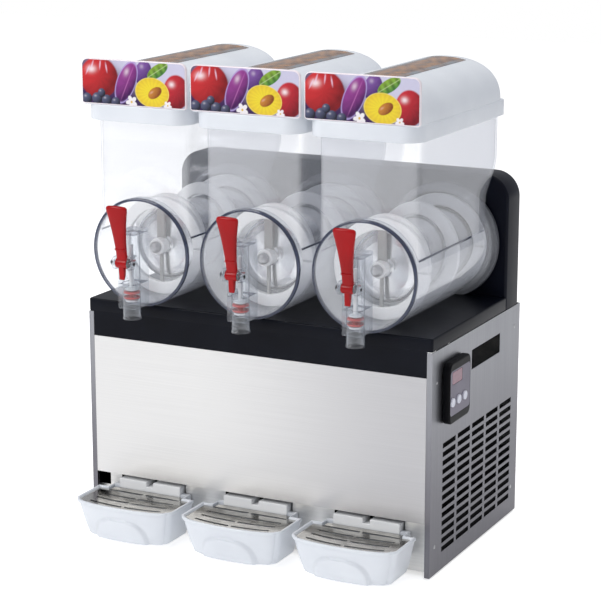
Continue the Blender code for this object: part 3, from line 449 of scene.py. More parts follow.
def clearLook(name, through, edge, shade, strength, blend=0.3, glow=0.0, hazy=None):
    # clear plastic: light passes straight through, darker where the surface turns away from the eye as
    # painted shade for the dark surroundings seen at the edges, under a pale gloss that grows towards the
    # edges; a milky share, partly the plastic's haze and partly a painted reflection of the pale room, is lit
    # by a painted glow; where hazy tests are given, the milky share is kept only where they pass
    look = startLook(name, shade, 0.06)
    tree = look.node_tree
    shader = tree.nodes["Principled BSDF"]
    roughen(look, grain(look, (1, 1, 1), 30), 0.05, 0.14)
    bump(look, grain(look, (1, 1, 1), 22, 2), 0.05, 0.0006)
    rim = addNode(look, "ShaderNodeLayerWeight")
    rim.inputs["Blend"].default_value = blend
    depth = addNode(look, "ShaderNodeValToRGB")
    depth.color_ramp.elements[0].color = (*through, 1)
    depth.color_ramp.elements[1].color = (*edge, 1)
    depth.color_ramp.elements[0].position = 0.30
    depth.color_ramp.elements[1].position = 0.92
    # painted light: the milky share gives off a pale glow of its own
    shader.inputs["Emission Color"].default_value = (0.90, 0.93, 1.0, 1)
    shader.inputs["Emission Strength"].default_value = glow
    clear = addNode(look, "ShaderNodeBsdfTransparent")
    gloss = addNode(look, "ShaderNodeBsdfAnisotropic")
    gloss.inputs["Roughness"].default_value = 0.06
    turnedAway = addNode(look, "ShaderNodeLayerWeight")
    turnedAway.inputs["Blend"].default_value = 0.5
    steep = addNode(look, "ShaderNodeMath", operation="POWER")
    steep.inputs[1].default_value = 4.0
    polish = addNode(look, "ShaderNodeMath", operation="MULTIPLY_ADD")
    polish.inputs[1].default_value = 0.75
    polish.inputs[2].default_value = 0.030
    shine = addNode(look, "ShaderNodeMixShader")
    spread = addNode(look, "ShaderNodeMapRange")
    spread.inputs["To Min"].default_value = strength[0]
    spread.inputs["To Max"].default_value = strength[1]
    mix = addNode(look, "ShaderNodeMixShader")
    join(look, rim.outputs["Facing"], depth.inputs["Fac"])
    join(look, depth.outputs["Color"], clear.inputs["Color"])
    join(look, rim.outputs["Facing"], spread.inputs["Value"])
    share = spread.outputs["Result"]
    if hazy:
        only = addNode(look, "ShaderNodeMath", operation="MULTIPLY_ADD")
        only.inputs[1].default_value = 0.60
        only.inputs[2].default_value = 0.40
        kept = addNode(look, "ShaderNodeMath", operation="MULTIPLY")
        join(look, insideOf(look, hazy), only.inputs[0])
        join(look, only.outputs[0], kept.inputs[0])
        join(look, share, kept.inputs[1])
        share = kept.outputs[0]
    join(look, share, mix.inputs["Fac"])
    join(look, clear.outputs["BSDF"], mix.inputs[1])
    join(look, shader.outputs["BSDF"], mix.inputs[2])
    join(look, turnedAway.outputs["Facing"], steep.inputs[0])
    join(look, steep.outputs[0], polish.inputs[0])
    join(look, polish.outputs[0], shine.inputs["Fac"])
    join(look, mix.outputs["Shader"], shine.inputs[1])
    join(look, gloss.outputs["BSDF"], shine.inputs[2])
    join(look, shine.outputs["Shader"], tree.nodes["Material Output"].inputs["Surface"])
    return look


# glow is painted light on the milky share, and the dark edge colours are painted shade
clearTank = clearLook("clearTank", (0.997, 0.998, 0.999), (0.44, 0.47, 0.57), (0.92, 0.94, 0.98),
                      (0.060, 0.32), glow=0.30)
clearHopper = clearLook("clearHopper", (0.995, 0.996, 0.998), (0.42, 0.45, 0.55), (0.94, 0.95, 0.98),
                        (0.15, 0.28), glow=0.20, hazy=[("Y", "LESS_THAN", casingFront + 0.0045)])
clearThick = clearLook("clearThick", (0.97, 0.98, 0.99), (0.16, 0.18, 0.26), (0.85, 0.88, 0.93),
                       (0.010, 0.30))
# painted shade: the rim's plastic is tinted dark navy for the dark surroundings that its thick edge shows
clearRim = clearLook("clearRim", (0.30, 0.33, 0.43), (0.08, 0.09, 0.16), (0.05, 0.06, 0.11),
                     (0.30, 0.75), 0.4)
print("materials made:", len(bpy.data.materials))

# casing: sheet metal keeps its CAD shape and takes a brushed finish

finishes = {
    "front_panel": frontSteel, "side_panel_left": shadedSideSteel, "side_panel_right": shadedSideSteel,
    "rear_panel": zincSteel, "base_pan": stripSteel, "compressor": innerBlack, "condenser": innerBlack,
    "condenser_fan": innerBlack, "fan_motor": innerBlack, "power_inlet": bezelBlack,
    "gearmotor_1": zincSteel, "gearmotor_2": zincSteel, "gearmotor_3": zincSteel,
}
for nodeName, look in finishes.items():
    for place in nodes[nodeName].material_slots:
        place.material = look

deckShape = {"half": 0.295, "rear": 0.2947, "low": 0.3493, "top": 0.370, "edge": 0.0022,
             "fasciaHalf": 0.2862, "fasciaLow": 0.3103, "fasciaDepth": 0.0025}


def makeDeck():
    d = deckShape
    plan = roundOff([(-d["half"], 0), (d["half"], 0), (d["half"], d["rear"]), (-d["half"], d["rear"])],
                    [0.004, 0.004, 0.001, 0.001])
    top = slab(plan, d["low"], d["top"], "xy", d["edge"])
    fascia = box((-d["fasciaHalf"], 0.0002, d["fasciaLow"]),
                 (d["fasciaHalf"], d["fasciaDepth"], d["low"] + 0.004), 0.0006, 0.001, "xz")
    build("deckCover", [top, fascia], deckBlack, "frame", stands=("deck",))


housingShape = {"half": 0.295, "low": 0.3493, "top": 0.565, "front": 0.295, "rear": 0.348,
                "corner": 0.040, "edge": 0.004}


def makeHousing():
    d = housingShape
    arch = roundOff([(-d["half"], d["low"]), (d["half"], d["low"]), (d["half"], d["top"]),
                     (-d["half"], d["top"])], [0.002, 0.002, d["corner"], d["corner"]], 16)
    back = slab(arch, d["front"], d["rear"], "xz", d["edge"], 6)
    build("rearCover", [back], blackCase, "frame", stands=("rear_housing",))


footShape = {"radius": 0.016, "foot": 0.014, "low": -0.003, "high": 0.0032}


def makeFeet():
    d = footShape
    for number in (1, 2, 3, 4):
        low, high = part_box("foot_%d" % number)
        mid = ((low.x + high.x) / 2 - casing[0], (low.y + high.y) / 2 - casing[1], 0)
        side = roundOff([(0, d["low"]), (d["foot"], d["low"]), (d["radius"], d["high"]),
                         (0, d["high"])], [0, 0.001, 0.001, 0], 5)
        build("rubberFoot_%d" % number, [turned(side, mid, "z", 48)], blackRubber, "frame",
              stands=("foot_%d" % number,))


screwPlaces = ((0.020, 0.300), (0.335, 0.315), (0.018, 0.045), (0.335, 0.045))


def makeScrews():
    # pan heads, sunk so far into the sheet that only a low dome stands proud
    for side in (-1, 1):
        heads = []
        for y, z in screwPlaces:
            dome = [(0, 0.0006), (0.0016, 0.0005), (0.0030, 0.0002), (0.0036, -0.0004), (0, -0.0006)]
            if side < 0:
                dome = [(r, min(h, 0.0)) for r, h in dome]
            profile = [(r, side * (deckShape["half"] + h)) for r, h in dome]
            heads.append(turned(profile, (0, y, z), "x", 24))
        build("caseScrews_%s" % ("left" if side < 0 else "right"), heads, screwSteel, "frame")


makeDeck()
makeHousing()
makeFeet()
makeScrews()
print("casing done")

# controls on the right side

controlShape = {"y": (0.0375, 0.1190), "z": (0.230, 0.325), "depth": 0.0128, "corner": 0.011,
                "edge": 0.0030, "displayY": (0.0470, 0.0860), "displayZ": (0.290, 0.310),
                "buttonR": 0.0070, "buttonZ": 0.2640, "buttonY": (0.0482, 0.0717, 0.0952),
                "plateY": (0.0398, 0.1168), "plateZ": (0.2425, 0.3125)}


def cutAway(piece, tools):
    for tool in tools:
        cut = piece.modifiers.new("cut", "BOOLEAN")
        cut.operation, cut.solver, cut.object = "DIFFERENCE", "EXACT", tool
    settle(piece)
    for tool in tools:
        bpy.data.objects.remove(tool)


def looseTool(shells):
    points, faces, start = [], [], 0
    for spots, quads, caps in shells:
        points.append(spots + casing)
        faces += (quads + start).tolist() + [(cap + start).tolist() for cap in caps]
        start += len(spots)
    mesh = bpy.data.meshes.new("tool")
    mesh.from_pydata(np.concatenate(points), [], faces)
    closeSeams(mesh)
    tool = bpy.data.objects.new("tool", mesh)
    bpy.context.scene.collection.objects.link(tool)
    return tool


def makeControls():
    d = controlShape
    face = casingSide - casing[0] + 0.0003
    front = face + d["depth"]
    corners = lambda ys, zs: [(ys[0], zs[0]), (ys[1], zs[0]), (ys[1], zs[1]), (ys[0], zs[1])]
    bezel = slab(roundOff(corners(d["y"], d["z"]), d["corner"], 8), face, front, "yz", d["edge"], 6)
    frameRim = build("controlBezel", [bezel], [bezelBlack], "frame", stands=("control_panel",))
    plateSlot = looseTool([slab(roundOff(corners(d["plateY"], d["plateZ"]), 0.006, 6),
                                front - 0.0012, front + 0.003, "yz", 0.0002, 2)])
    wells = [looseTool([turned([(0, face + 0.004), (d["buttonR"] + 0.0006, face + 0.004),
                                (d["buttonR"] + 0.0006, front + 0.004), (0, front + 0.004)],
                               (0, y, d["buttonZ"]), "x", 40)]) for y in d["buttonY"]]
    pocket = looseTool([slab(roundOff(corners(d["displayY"], d["displayZ"]), 0.002, 4),
                             front - 0.003, front + 0.003, "yz", 0.0002, 2)])
    cutAway(frameRim, [plateSlot, *wells, pocket])

    plate = build("facePlate", [slab(roundOff(corners([d["plateY"][0] + 0.0002, d["plateY"][1] - 0.0002],
                                                      [d["plateZ"][0] + 0.0002, d["plateZ"][1] - 0.0002]),
                                              0.006, 6), front - 0.0011, front - 0.0003, "yz", 0.0002, 2)],
                  facePlate, "frame")
    wells = [looseTool([turned([(0, face + 0.004), (d["buttonR"] + 0.0006, face + 0.004),
                                (d["buttonR"] + 0.0006, front + 0.004), (0, front + 0.004)],
                               (0, y, d["buttonZ"]), "x", 40)]) for y in d["buttonY"]]
    pocket = looseTool([slab(roundOff(corners(d["displayY"], d["displayZ"]), 0.002, 4),
                             front - 0.003, front + 0.003, "yz", 0.0002, 2)])
    cutAway(plate, [*wells, pocket])

    build("displayGlass", [slab(roundOff(corners([d["displayY"][0] + 0.0003, d["displayY"][1] - 0.0003],
                                                 [d["displayZ"][0] + 0.0003, d["displayZ"][1] - 0.0003]),
                                         0.002, 4), front - 0.0026, front - 0.0004, "yz", 0.0005, 3)],
          glassRed, "frame", stands=("display_window",))
    for number, y in enumerate(d["buttonY"], 1):
        r, tip = d["buttonR"], front + 0.002
        cap = roundOff([(0, face + 0.0063), (r, face + 0.0063), (r, tip), (r * 0.72, tip),
                        (r * 0.60, tip - 0.0006), (0, tip - 0.0007)],
                       [0, 0.0003, 0.0011, 0.0008, 0.0008, 0], 5)
        build("pushButton_%d" % number, [turned(cap, (0, y, d["buttonZ"]), "x", 48)], buttonWhite,
              "button_%d" % number, stands=("button_%d" % number,))


makeControls()
print("controls done")

# freezing gear inside each bowl

drumShape = {"radius": 0.0555, "front": 0.060, "rear": 0.2945, "wall": 0.002}
augerShape = {"inner": 0.0585, "outer": 0.0778, "front": 0.046, "rear": 0.277, "band": 0.010,
              "turns": 2, "hubR": 0.013, "hubFront": 0.0355, "arm": 0.0068, "lowArm": 0.0028}
shaftShape = {"nose": 0.0347, "radius": 0.005, "head": 0.009, "rear": 0.307}


def makeDrum(n):
    d = drumShape
    r, f = d["radius"], d["front"]
    profile = [(0.0060, f - 0.0035), (0.0120, f - 0.0035), (0.0150, f - 0.0005), (0.0400, f + 0.0005),
               (r - 0.0035, f + 0.0030), (r, f + 0.0080), (r, d["rear"]), (r - d["wall"], d["rear"]),
               (r - d["wall"], f + 0.012), (0.0085, f + 0.006), (0.0060, f + 0.006)]
    profile = roundOff(profile, [0.0008, 0.0015, 0.003, 0.02, 0.004, 0.003, 0, 0, 0.003, 0, 0], 6)
    build("coldDrum_%d" % n, [turned(profile, (0, 0, axisHeight), "y", 128, True)], drumLook(n),
          "frame", n, ("evaporator_%d" % n,))


def helix(inner, outer, first, last, band, turns, steps=220):
    # a flat band's rounded section is turned about the axis while it moves back in proportion
    t = np.linspace(0, 1, steps)
    half = band / 2
    section = roundOff([(inner, -half), (outer, -half), (outer, half), (inner, half)], 0.002, 4)
    angle = 2 * math.pi * turns * t
    radius = section[None, :, 0]
    grid = np.stack([radius * np.cos(angle)[:, None],
                     first + (last - first) * t[:, None] + section[None, :, 1],
                     radius * np.sin(angle)[:, None] + axisHeight], -1)
    return shell(grid)


def makeAuger(n):
    d = augerShape
    ring = lambda a, b: turned(roundOff([(d["inner"], a), (d["outer"], a), (d["outer"], b), (d["inner"], b)],
                                        0.002, 5), (0, 0, axisHeight), "y", 128, True)
    half = d["band"] / 2
    blade = helix(d["inner"], d["outer"], d["front"] + half, d["rear"] - half, d["band"], d["turns"])
    bore, hubRear = shaftShape["radius"] + 0.0008, d["front"] + 0.008
    hub = turned(roundOff([(bore, d["hubFront"]), (d["hubR"], d["hubFront"]), (d["hubR"], hubRear),
                           (bore, hubRear)], 0.0015, 5), (0, 0, axisHeight), "y", 64, True)
    reach = d["inner"] + 0.004
    arms = [box((-w, d["front"] + 0.002, axisHeight + min(s * 0.009, s * reach)),
                (w, d["front"] + 0.007, axisHeight + max(s * 0.009, s * reach)),
                0.001, 0.0015, "xz") for s, w in ((-1, d["lowArm"]), (1, d["arm"]))]
    build("auger_blade_%d" % n, [ring(d["front"], d["front"] + d["band"]),
                                 ring(d["rear"] - d["band"], d["rear"]), blade, hub, *arms],
          [augerWhite, armGrey], "auger_%d" % n, n, ("auger_%d" % n,),
          looks=[0, 0, 0, 0, 1, 1])


def makeShaft(n):
    d = shaftShape
    profile = roundOff([(0, d["nose"] - 0.0098), (0.0055, d["nose"] - 0.009), (d["head"], d["nose"] - 0.005),
                        (d["head"], d["nose"]), (d["radius"], d["nose"]), (d["radius"], d["rear"]),
                        (0, d["rear"])], [0, 0.002, 0.002, 0.0004, 0, 0.0005, 0], 5)
    build("driveShaft_%d" % n, [turned(profile, (0, 0, axisHeight), "y", 48)], zincSteel,
          "auger_%d" % n, n, ("drive_shaft_%d" % n,))


# clear bowl: a round tank with a hopper that grows out of its top

tankShape = {"radius": 0.0845, "front": -0.015, "rear": 0.283, "wall": 0.003, "fillet": 0.004,
             "flange": 0.0925, "openFront": 0.003, "openRear": 0.266, "deck": 0.3705}
hopperShape = {"half": 0.080, "top": 0.664, "rear": 0.312, "waist": 0.268, "slopeLow": 0.530,
               "slopeHigh": 0.592, "corner": 0.009, "wall": 0.003}


def tankSkin():
    # radius and depth along the side view, carried round the axis; the top is left open under the hopper
    d = tankShape
    r, f = d["radius"], d["front"]
    turn = np.linspace(0, math.pi / 2, 7)
    nose = np.stack([r - d["fillet"] + d["fillet"] * np.sin(turn), f + d["fillet"] * (1 - np.cos(turn))], 1)
    disc = np.stack([np.linspace(0, r - d["fillet"] - 0.001, 9), np.full(9, f)], 1)
    run = np.stack([np.full(27, r), np.concatenate([[-0.008], np.linspace(d["openFront"], d["openRear"], 24),
                                                    [0.272, d["rear"] - 0.004]])], 1)
    lip = np.array([[r + 0.0015, d["rear"] - 0.0006], [r + 0.004, d["rear"]], [d["flange"], d["rear"]]])
    profile = np.concatenate([disc, nose, run, lip])
    count = 144
    angle = np.linspace(0, 2 * math.pi, count, endpoint=False)
    grid = np.stack([profile[:, :1] * np.sin(angle), np.repeat(profile[:, 1:], count, 1),
                     np.maximum(axisHeight + profile[:, :1] * np.cos(angle), d["deck"])], -1)
    fromTop = np.abs((np.arange(count) + 0.5) * 360 / count - 360 * ((np.arange(count) + 0.5) > count / 2))
    openRow = (profile[:, 1] > d["openFront"] - 0.0001) & (profile[:, 1] < d["openRear"] - 0.0001) & (
        profile[:, 0] > r - 0.0001)
    keep = lambda rows, cols: ~(openRow[rows] & (fromTop[cols] < 69))
    return shell(grid, capFirst=False, capLast=False, keep=keep)


def hopperSkin():
    # a rounded rectangle whose foot lies on the tank's round top and whose rear face leans back
    d = hopperShape
    corner = d["corner"]
    plan = roundOff([(-d["half"], 0), (d["half"], 0), (d["half"], d["rear"]), (-d["half"], d["rear"])],
                    corner, 8)
    sides = [np.linspace(plan[i], plan[(i + 1) % len(plan)], 15)[1:-1] for i in range(7, 32, 8)]
    loop = np.concatenate([np.concatenate([plan[8 * k:8 * k + 8], sides[k]]) for k in range(4)])
    foot = axisHeight + np.sqrt(np.maximum(tankShape["radius"] ** 2 - loop[:, 0] ** 2, 0.0006)) - 0.0005
    share = np.concatenate([[0], np.linspace(0.12, 0.30, 5), np.linspace(0.35, 0.62, 8), [0.8, 1.0]])
    z = foot[None] + share[:, None] * (d["top"] - foot[None])
    lean = np.clip((z - d["slopeLow"]) / (d["slopeHigh"] - d["slopeLow"]), 0, 1)
    lean = lean * lean * (3 - 2 * lean)
    rear = d["waist"] + (d["rear"] - d["waist"]) * lean
    grid = np.stack([np.broadcast_to(loop[:, 0], z.shape), loop[None, :, 1] * rear / d["rear"], z], -1)
    return shell(grid, capFirst=False, capLast=False)


tapShape = {"half": 0.015, "front": -0.056, "rear": -0.0145, "low": 0.375, "top": 0.4965,
            "boreR": 0.0135, "boreY": -0.041, "windowHalf": 0.0085, "windowLow": 0.413,
            "windowHigh": 0.4905, "spoutR": 0.0145, "spoutLow": 0.357, "pivotY": -0.0655,
            "pivotZ": 0.449, "earIn": 0.0103, "earOut": 0.0155}


def boredFoot(low, high):
    # a square block with the round bore right through it: rays from the bore's centre meet the
    # bore and the block's sides, and the loops close over the top and the bottom
    d = tapShape
    reachX, ahead, behind = d["half"], d["boreY"] - d["front"], d["rear"] - d["boreY"]
    corners = [math.atan2(y, x) % (2 * math.pi) for x in (-reachX, reachX) for y in (-ahead, behind)]
    angle = np.sort(np.append(np.linspace(0, 2 * math.pi, 72, endpoint=False) + 0.01, corners))
    ray = np.stack([np.cos(angle), np.sin(angle)], 1)
    sideways = reachX / np.maximum(np.abs(ray[:, 0]), 1e-9)
    lengthways = np.where(ray[:, 1] < 0, ahead, behind) / np.maximum(np.abs(ray[:, 1]), 1e-9)
    sides = np.minimum(sideways, lengthways)
    bore = np.full(len(angle), d["boreR"])
    loops = [(sides - 0.0006, low), (sides, low + 0.0006), (sides, high), (bore, high), (bore, low)]
    grid = np.stack([np.column_stack([ray * reach[:, None] + (0, d["boreY"]), np.full(len(angle), z)])
                     for reach, z in loops])
    return shell(grid, closeRows=True)


def tapBlock():
    d = tapShape
    y0, y1, h, w = d["front"], d["rear"], d["half"], d["windowHalf"]
    square = roundOff([(-h, y0), (h, y0), (h, y1), (-h, y1)], [0.003, 0.003, 0.0005, 0.0005], 6)
    depth = math.sqrt(d["boreR"] ** 2 - w ** 2)
    start = math.atan2(-depth, -w)
    sweep = np.linspace(start, start - (2 * math.pi - 2 * math.atan2(w, depth)), 28)
    bore = np.stack([d["boreR"] * np.cos(sweep), d["boreY"] + d["boreR"] * np.sin(sweep)], 1)
    cheeks = np.concatenate([[(-h, y1), (-h, y0 + 0.0008), (-h + 0.0008, y0), (-w - 0.0005, y0),
                              (-w, y0 + 0.0005)], bore,
                             [(w, y0 + 0.0005), (w + 0.0005, y0), (h - 0.0008, y0), (h, y0 + 0.0008),
                              (h, y1)]])
    shells = [boredFoot(d["low"], d["windowLow"]),
              slab(cheeks, d["windowLow"], d["windowHigh"], "xy", 0.0002, 2),
              slab(square, d["windowHigh"], d["top"], "xy", 0.0012, 3)]
    spout = roundOff([(d["boreR"], d["spoutLow"]), (d["spoutR"], d["spoutLow"]), (d["spoutR"], 0.3605),
                      (d["spoutR"] - 0.0007, 0.3615), (d["spoutR"] - 0.0007, 0.3765), (d["boreR"], 0.3765)],
                     [0.0006, 0.0012, 0.0005, 0.0005, 0.0003, 0.0003], 4)
    shells.append(turned(spout, (0, d["boreY"], 0), "z", 56, True))
    for s in (-1, 1):
        ear = roundOff([(d["pivotY"] - 0.008, d["pivotZ"] - 0.010), (y0 + 0.001, d["pivotZ"] - 0.010),
                        (y0 + 0.001, d["pivotZ"] + 0.010), (d["pivotY"] - 0.008, d["pivotZ"] + 0.010)],
                       [0.0075, 0.0005, 0.0005, 0.0075], 7)
        a, b = sorted((s * d["earIn"], s * d["earOut"]))
        shells.append(slab(ear, a, b, "yz", 0.0008, 3))
    return shells


def makeBowl(n):
    d = tankShape
    tank = build("tank_%d" % n, [tankSkin(), hopperSkin()], [clearTank, clearHopper], "bowl_%d" % n, n,
                 ("bowl_%d" % n,), looks=[0, 1])
    wall = tank.modifiers.new("wall", "SOLIDIFY")
    wall.thickness, wall.offset, wall.use_even_offset = d["wall"], -1, True
    settle(tank)
    r, f = d["radius"], d["front"]
    # painted shade: a dark tinted ring of clear plastic at the front rim of the tank
    rimRing = roundOff([(r - 0.0042, f - 0.0003), (r + 0.0002, f + 0.0012), (r + 0.0002, f + 0.0060),
                        (r - 0.0042, f + 0.0060)], 0.0008, 5)
    lugs = [box((-0.020, y, 0.3704), (0.020, y + 0.022, axisHeight - r + 0.0022), 0.0008, 0.002)
            for y in (0.020, 0.235)]
    # a thin dark clear strip along each side, where the hopper's wall stands on the tank
    seams = [box((min(s * 0.0796, s * 0.0806), 0.004, 0.4812), (max(s * 0.0796, s * 0.0806), 0.205, 0.4842),
                 0.0003, 0.0008) for s in (-1, 1)]
    build("tankRim_%d" % n, [turned(rimRing, (0, 0, axisHeight), "y", 144, True), *seams],
          clearRim, "bowl_%d" % n, n)
    build("tapBody_%d" % n, tapBlock() + lugs, clearThick, "bowl_%d" % n, n)


def makeGasket(n):
    d = tankShape
    r = d["radius"]
    profile = roundOff([(r - 0.006, 0.2834), (d["flange"] + 0.001, 0.2834), (d["flange"] + 0.0013, 0.2890),
                        (d["flange"] - 0.001, 0.2945), (r - 0.006, 0.2945)], 0.0014, 5)
    points, quads, caps = turned(profile, (0, 0, axisHeight), "y", 128, True)
    points[:, 2] = np.maximum(points[:, 2], d["deck"])
    build("sealRing_%d" % n, [(points, quads, caps)], greyRubber, "frame", n,
          ("bowl_gasket_%d" % n,))


# tap: pin, lever, plunger and seal

pinShape = {"half": 0.0200, "head": 0.0050, "stem": 0.0027}
leverShape = {"hubR": 0.0078, "hubHalf": 0.0097, "neckHalf": 0.0088, "paddleHalf": 0.018, "neckZ": 0.015,
              "top": 0.0912, "thick": 0.0037, "lean": math.radians(10), "reach": 0.0255}
plungerShape = {"stem": 0.0035, "disc": 0.0100, "collar": 0.0085, "low": 0.3847, "high": 0.4740,
                "portLow": 0.3877, "portHigh": 0.4023}


def leanForward(shellIn, angle):
    # turns about the pivot so that the top comes to the front
    points, quads, caps = shellIn
    y, z = points[:, 1].copy(), points[:, 2].copy()
    points[:, 1] = y * math.cos(angle) - z * math.sin(angle)
    points[:, 2] = y * math.sin(angle) + z * math.cos(angle)
    return points, quads, caps


def toPivot(shells):
    shift = np.array([0, tapShape["pivotY"], tapShape["pivotZ"]])
    return [(points + shift, quads, caps) for points, quads, caps in shells]


def leverPaddle():
    # the width grows from neck to head, each level is a flattened super-ellipse, and the top closes round
    d = leverShape
    height = np.concatenate([np.linspace(-0.002, d["neckZ"], 8),
                             np.linspace(d["neckZ"] + 0.004, d["top"] - 0.004, 16)])
    share = np.clip((height - d["neckZ"]) / (d["top"] - 0.006 - d["neckZ"]), 0, 1)
    width = d["neckHalf"] + (d["paddleHalf"] - d["neckHalf"]) * share ** 1.7
    thick = d["thick"] * (1 + 0.12 * np.sin(math.pi * share))
    crown = np.linspace(0, math.pi / 2, 8)[1:]
    height = np.concatenate([height, d["top"] - 0.004 + 0.004 * np.sin(crown)])
    width = np.concatenate([width, (d["paddleHalf"] - 0.004) + 0.004 * np.cos(crown)])
    thick = np.concatenate([thick, d["thick"] * np.maximum(np.cos(crown), 0.04)])
    angle = np.linspace(0, 2 * math.pi, 56, endpoint=False)
    c, s = np.cos(angle), np.sin(angle)
    x = width[:, None] * np.sign(c) * np.abs(c) ** 0.35
    y = thick[:, None] * np.sign(s) * np.abs(s) ** 0.7
    bulge = 0.0012 * np.cos(np.clip(x / width[:, None], -1, 1) * math.pi / 2)
    arched = height[:, None] + 0.0018 * (1 - (x / d["paddleHalf"]) ** 2) * (share[-1] * np.concatenate(
        [np.zeros(16), np.ones(len(height) - 16)]))[:, None]
    grid = np.stack([x, y - bulge, np.broadcast_to(arched, x.shape)], -1)
    return leanForward(shell(grid), d["lean"])


def makeTap(n):
    d, p = leverShape, pinShape
    hub = turned(roundOff([(p["stem"] + 0.0003, -d["hubHalf"]), (d["hubR"], -d["hubHalf"]),
                           (d["hubR"], d["hubHalf"]), (p["stem"] + 0.0003, d["hubHalf"])], 0.0012, 5),
                 (0, 0, 0), "x", 48, True)
    tip = slab(roundOff([(-0.0065, 0.001), (0.004, 0.001), (0.001, -0.020), (-0.004, -0.029)], 0.0014, 5),
               -0.0045, 0.0045, "yz", 0.001, 4)
    ridge = leanForward(box((-0.0086, -0.0060, 0.0225), (0.0086, 0.0030, 0.0250), 0.0009, 0.001), d["lean"])
    washers = [turned(roundOff([(p["stem"] + 0.0003, s * d["hubHalf"]), (0.0070, s * d["hubHalf"]),
                                (0.0070, s * 0.0101), (p["stem"] + 0.0003, s * 0.0101)], 0.0001, 3),
                      (0, 0, 0), "x", 40, True) for s in (-1, 1)]
    prongs = [box((min(s * 0.0046, s * 0.0076), 0, -0.0015),
                  (max(s * 0.0046, s * 0.0076), d["reach"], 0.0015), 0.0005, 0.0008) for s in (-1, 1)]
    build("lever_%d" % n, toPivot([hub, leverPaddle(), tip, ridge, *prongs, *washers]),
          [leverRed, bezelBlack], "tap_%d" % n, n, ("tap_lever_%d" % n,),
          looks=[0] * 6 + [1] * 2)
    knobs, dots = [], []
    for s in (-1, 1):
        inner, tipX = s * (tapShape["earOut"] + 0.0003), s * p["half"]
        knobs.append(turned(roundOff([(0, inner), (p["head"], inner), (p["head"], tipX), (0, tipX)],
                                     [0, 0.0006, 0.0016, 0], 6), (0, 0, 0), "x", 40))
        sunk, proud = tipX - s * 0.0006, tipX + s * 0.0002
        dots.append(turned(roundOff([(0, sunk), (0.0028, sunk), (0.0026, proud), (0, proud)],
                                    [0, 0.0001, 0.0003, 0], 4), (0, 0, 0), "x", 24))
    stem = turned([(0, -0.0156), (p["stem"], -0.0156), (p["stem"], 0.0156), (0, 0.0156)], (0, 0, 0), "x", 32)
    build("leverPin_%d" % n, toPivot([stem, *knobs, *dots]), [clearThick, bezelBlack], "bowl_%d" % n, n,
          ("lever_pin_%d" % n,), looks=[0, 0, 0, 1, 1])
    q = plungerShape
    mid = tapShape["pivotZ"]
    steps = [(0, q["low"]), (q["disc"], q["low"]), (q["disc"], q["portLow"]), (q["stem"], q["portLow"]),
             (q["stem"], q["portHigh"]), (q["disc"], q["portHigh"]), (q["disc"], q["portHigh"] + 0.002),
             (q["stem"], q["portHigh"] + 0.004), (q["stem"], mid - 0.007), (q["collar"], mid - 0.007),
             (q["collar"], mid - 0.005), (q["stem"], mid - 0.005), (q["stem"], mid + 0.005),
             (q["collar"], mid + 0.005), (q["collar"], mid + 0.007), (q["stem"], mid + 0.007),
             (q["stem"], q["high"]), (0, q["high"])]
    centre = (0, tapShape["boreY"], 0)
    rounding = [0] + [0.0004] * 15 + [0.0012, 0]
    build("plunger_stem_%d" % n, [turned(roundOff(steps, rounding, 4), centre, "z", 40)], valveWhite,
          "plunger_%d" % n, n, ("tap_plunger_%d" % n,))
    ringR = tapShape["boreR"] - 0.0005
    low, high = 0.3895, 0.4005
    lips = [(0.0038, low), (ringR - 0.0008, low), (ringR, low + 0.0025), (ringR - 0.0012, low + 0.0055),
            (ringR - 0.0012, high - 0.0055), (ringR, high - 0.0025), (ringR - 0.0008, high), (0.0038, high)]
    build("valveSeal_%d" % n, [turned(roundOff(lips, 0.0006, 4), centre, "z", 48, True)], sealRed,
          "plunger_%d" % n, n, ("plunger_seal_%d" % n,))


for n in stations:
    makeDrum(n)
    makeAuger(n)
    makeShaft(n)
    makeBowl(n)
    makeGasket(n)
    makeTap(n)
print("bowls, augers and taps done")

# lid with its printed panel

lidShape = {"half": 0.0895, "front": -0.026, "rear": 0.316, "low": 0.6585, "ledge": 0.6835,
            "crown": 0.7478, "vaultRear": 0.302, "vaultHalf": 0.0880, "frontCorner": 0.030,
            "rearCorner": 0.012, "innerHalf": 0.0812, "ceiling": 0.6646, "power": 2.35}
labelShape = {"half": 0.0915, "low": 0.6835, "top": 0.753, "front": -0.026, "depth": 0.006,
              "topCorner": 0.011, "lowCorner": 0.004, "border": 0.0017}


def lidSkirt():
    d = lidShape
    outer = roundOff([(-d["half"], d["front"]), (d["half"], d["front"]), (d["half"], d["rear"]),
                      (-d["half"], d["rear"])],
                     [d["frontCorner"], d["frontCorner"], d["rearCorner"], d["rearCorner"]], 12)
    inner = roundOff([(-d["innerHalf"], -0.0012), (d["innerHalf"], -0.0012), (d["innerHalf"], 0.3132),
                      (-d["innerHalf"], 0.3132)], 0.009, 12)
    turn = np.linspace(0, math.pi / 2, 5)
    foot = drawIn(outer, 0.0012 * (1 - np.sin(turn)))
    shoulder = drawIn(outer, 0.0022 * (1 - np.sin(turn[::-1])))
    plans = np.concatenate([[inner, inner], foot, shoulder])
    heights = np.concatenate([[d["ceiling"], d["low"] + 0.0004], d["low"] + 0.0012 * (1 - np.cos(turn)),
                              d["ledge"] - 0.0022 * (1 - np.cos(turn[::-1]))])
    return loft(plans, heights)


def vaultHeight(x, half, base, crown):
    # a super-ellipse, fuller at the shoulders than a circle
    power = lidShape["power"]
    return base + (crown - base) * np.maximum(1 - np.abs(x / half) ** power, 0) ** (1 / power)


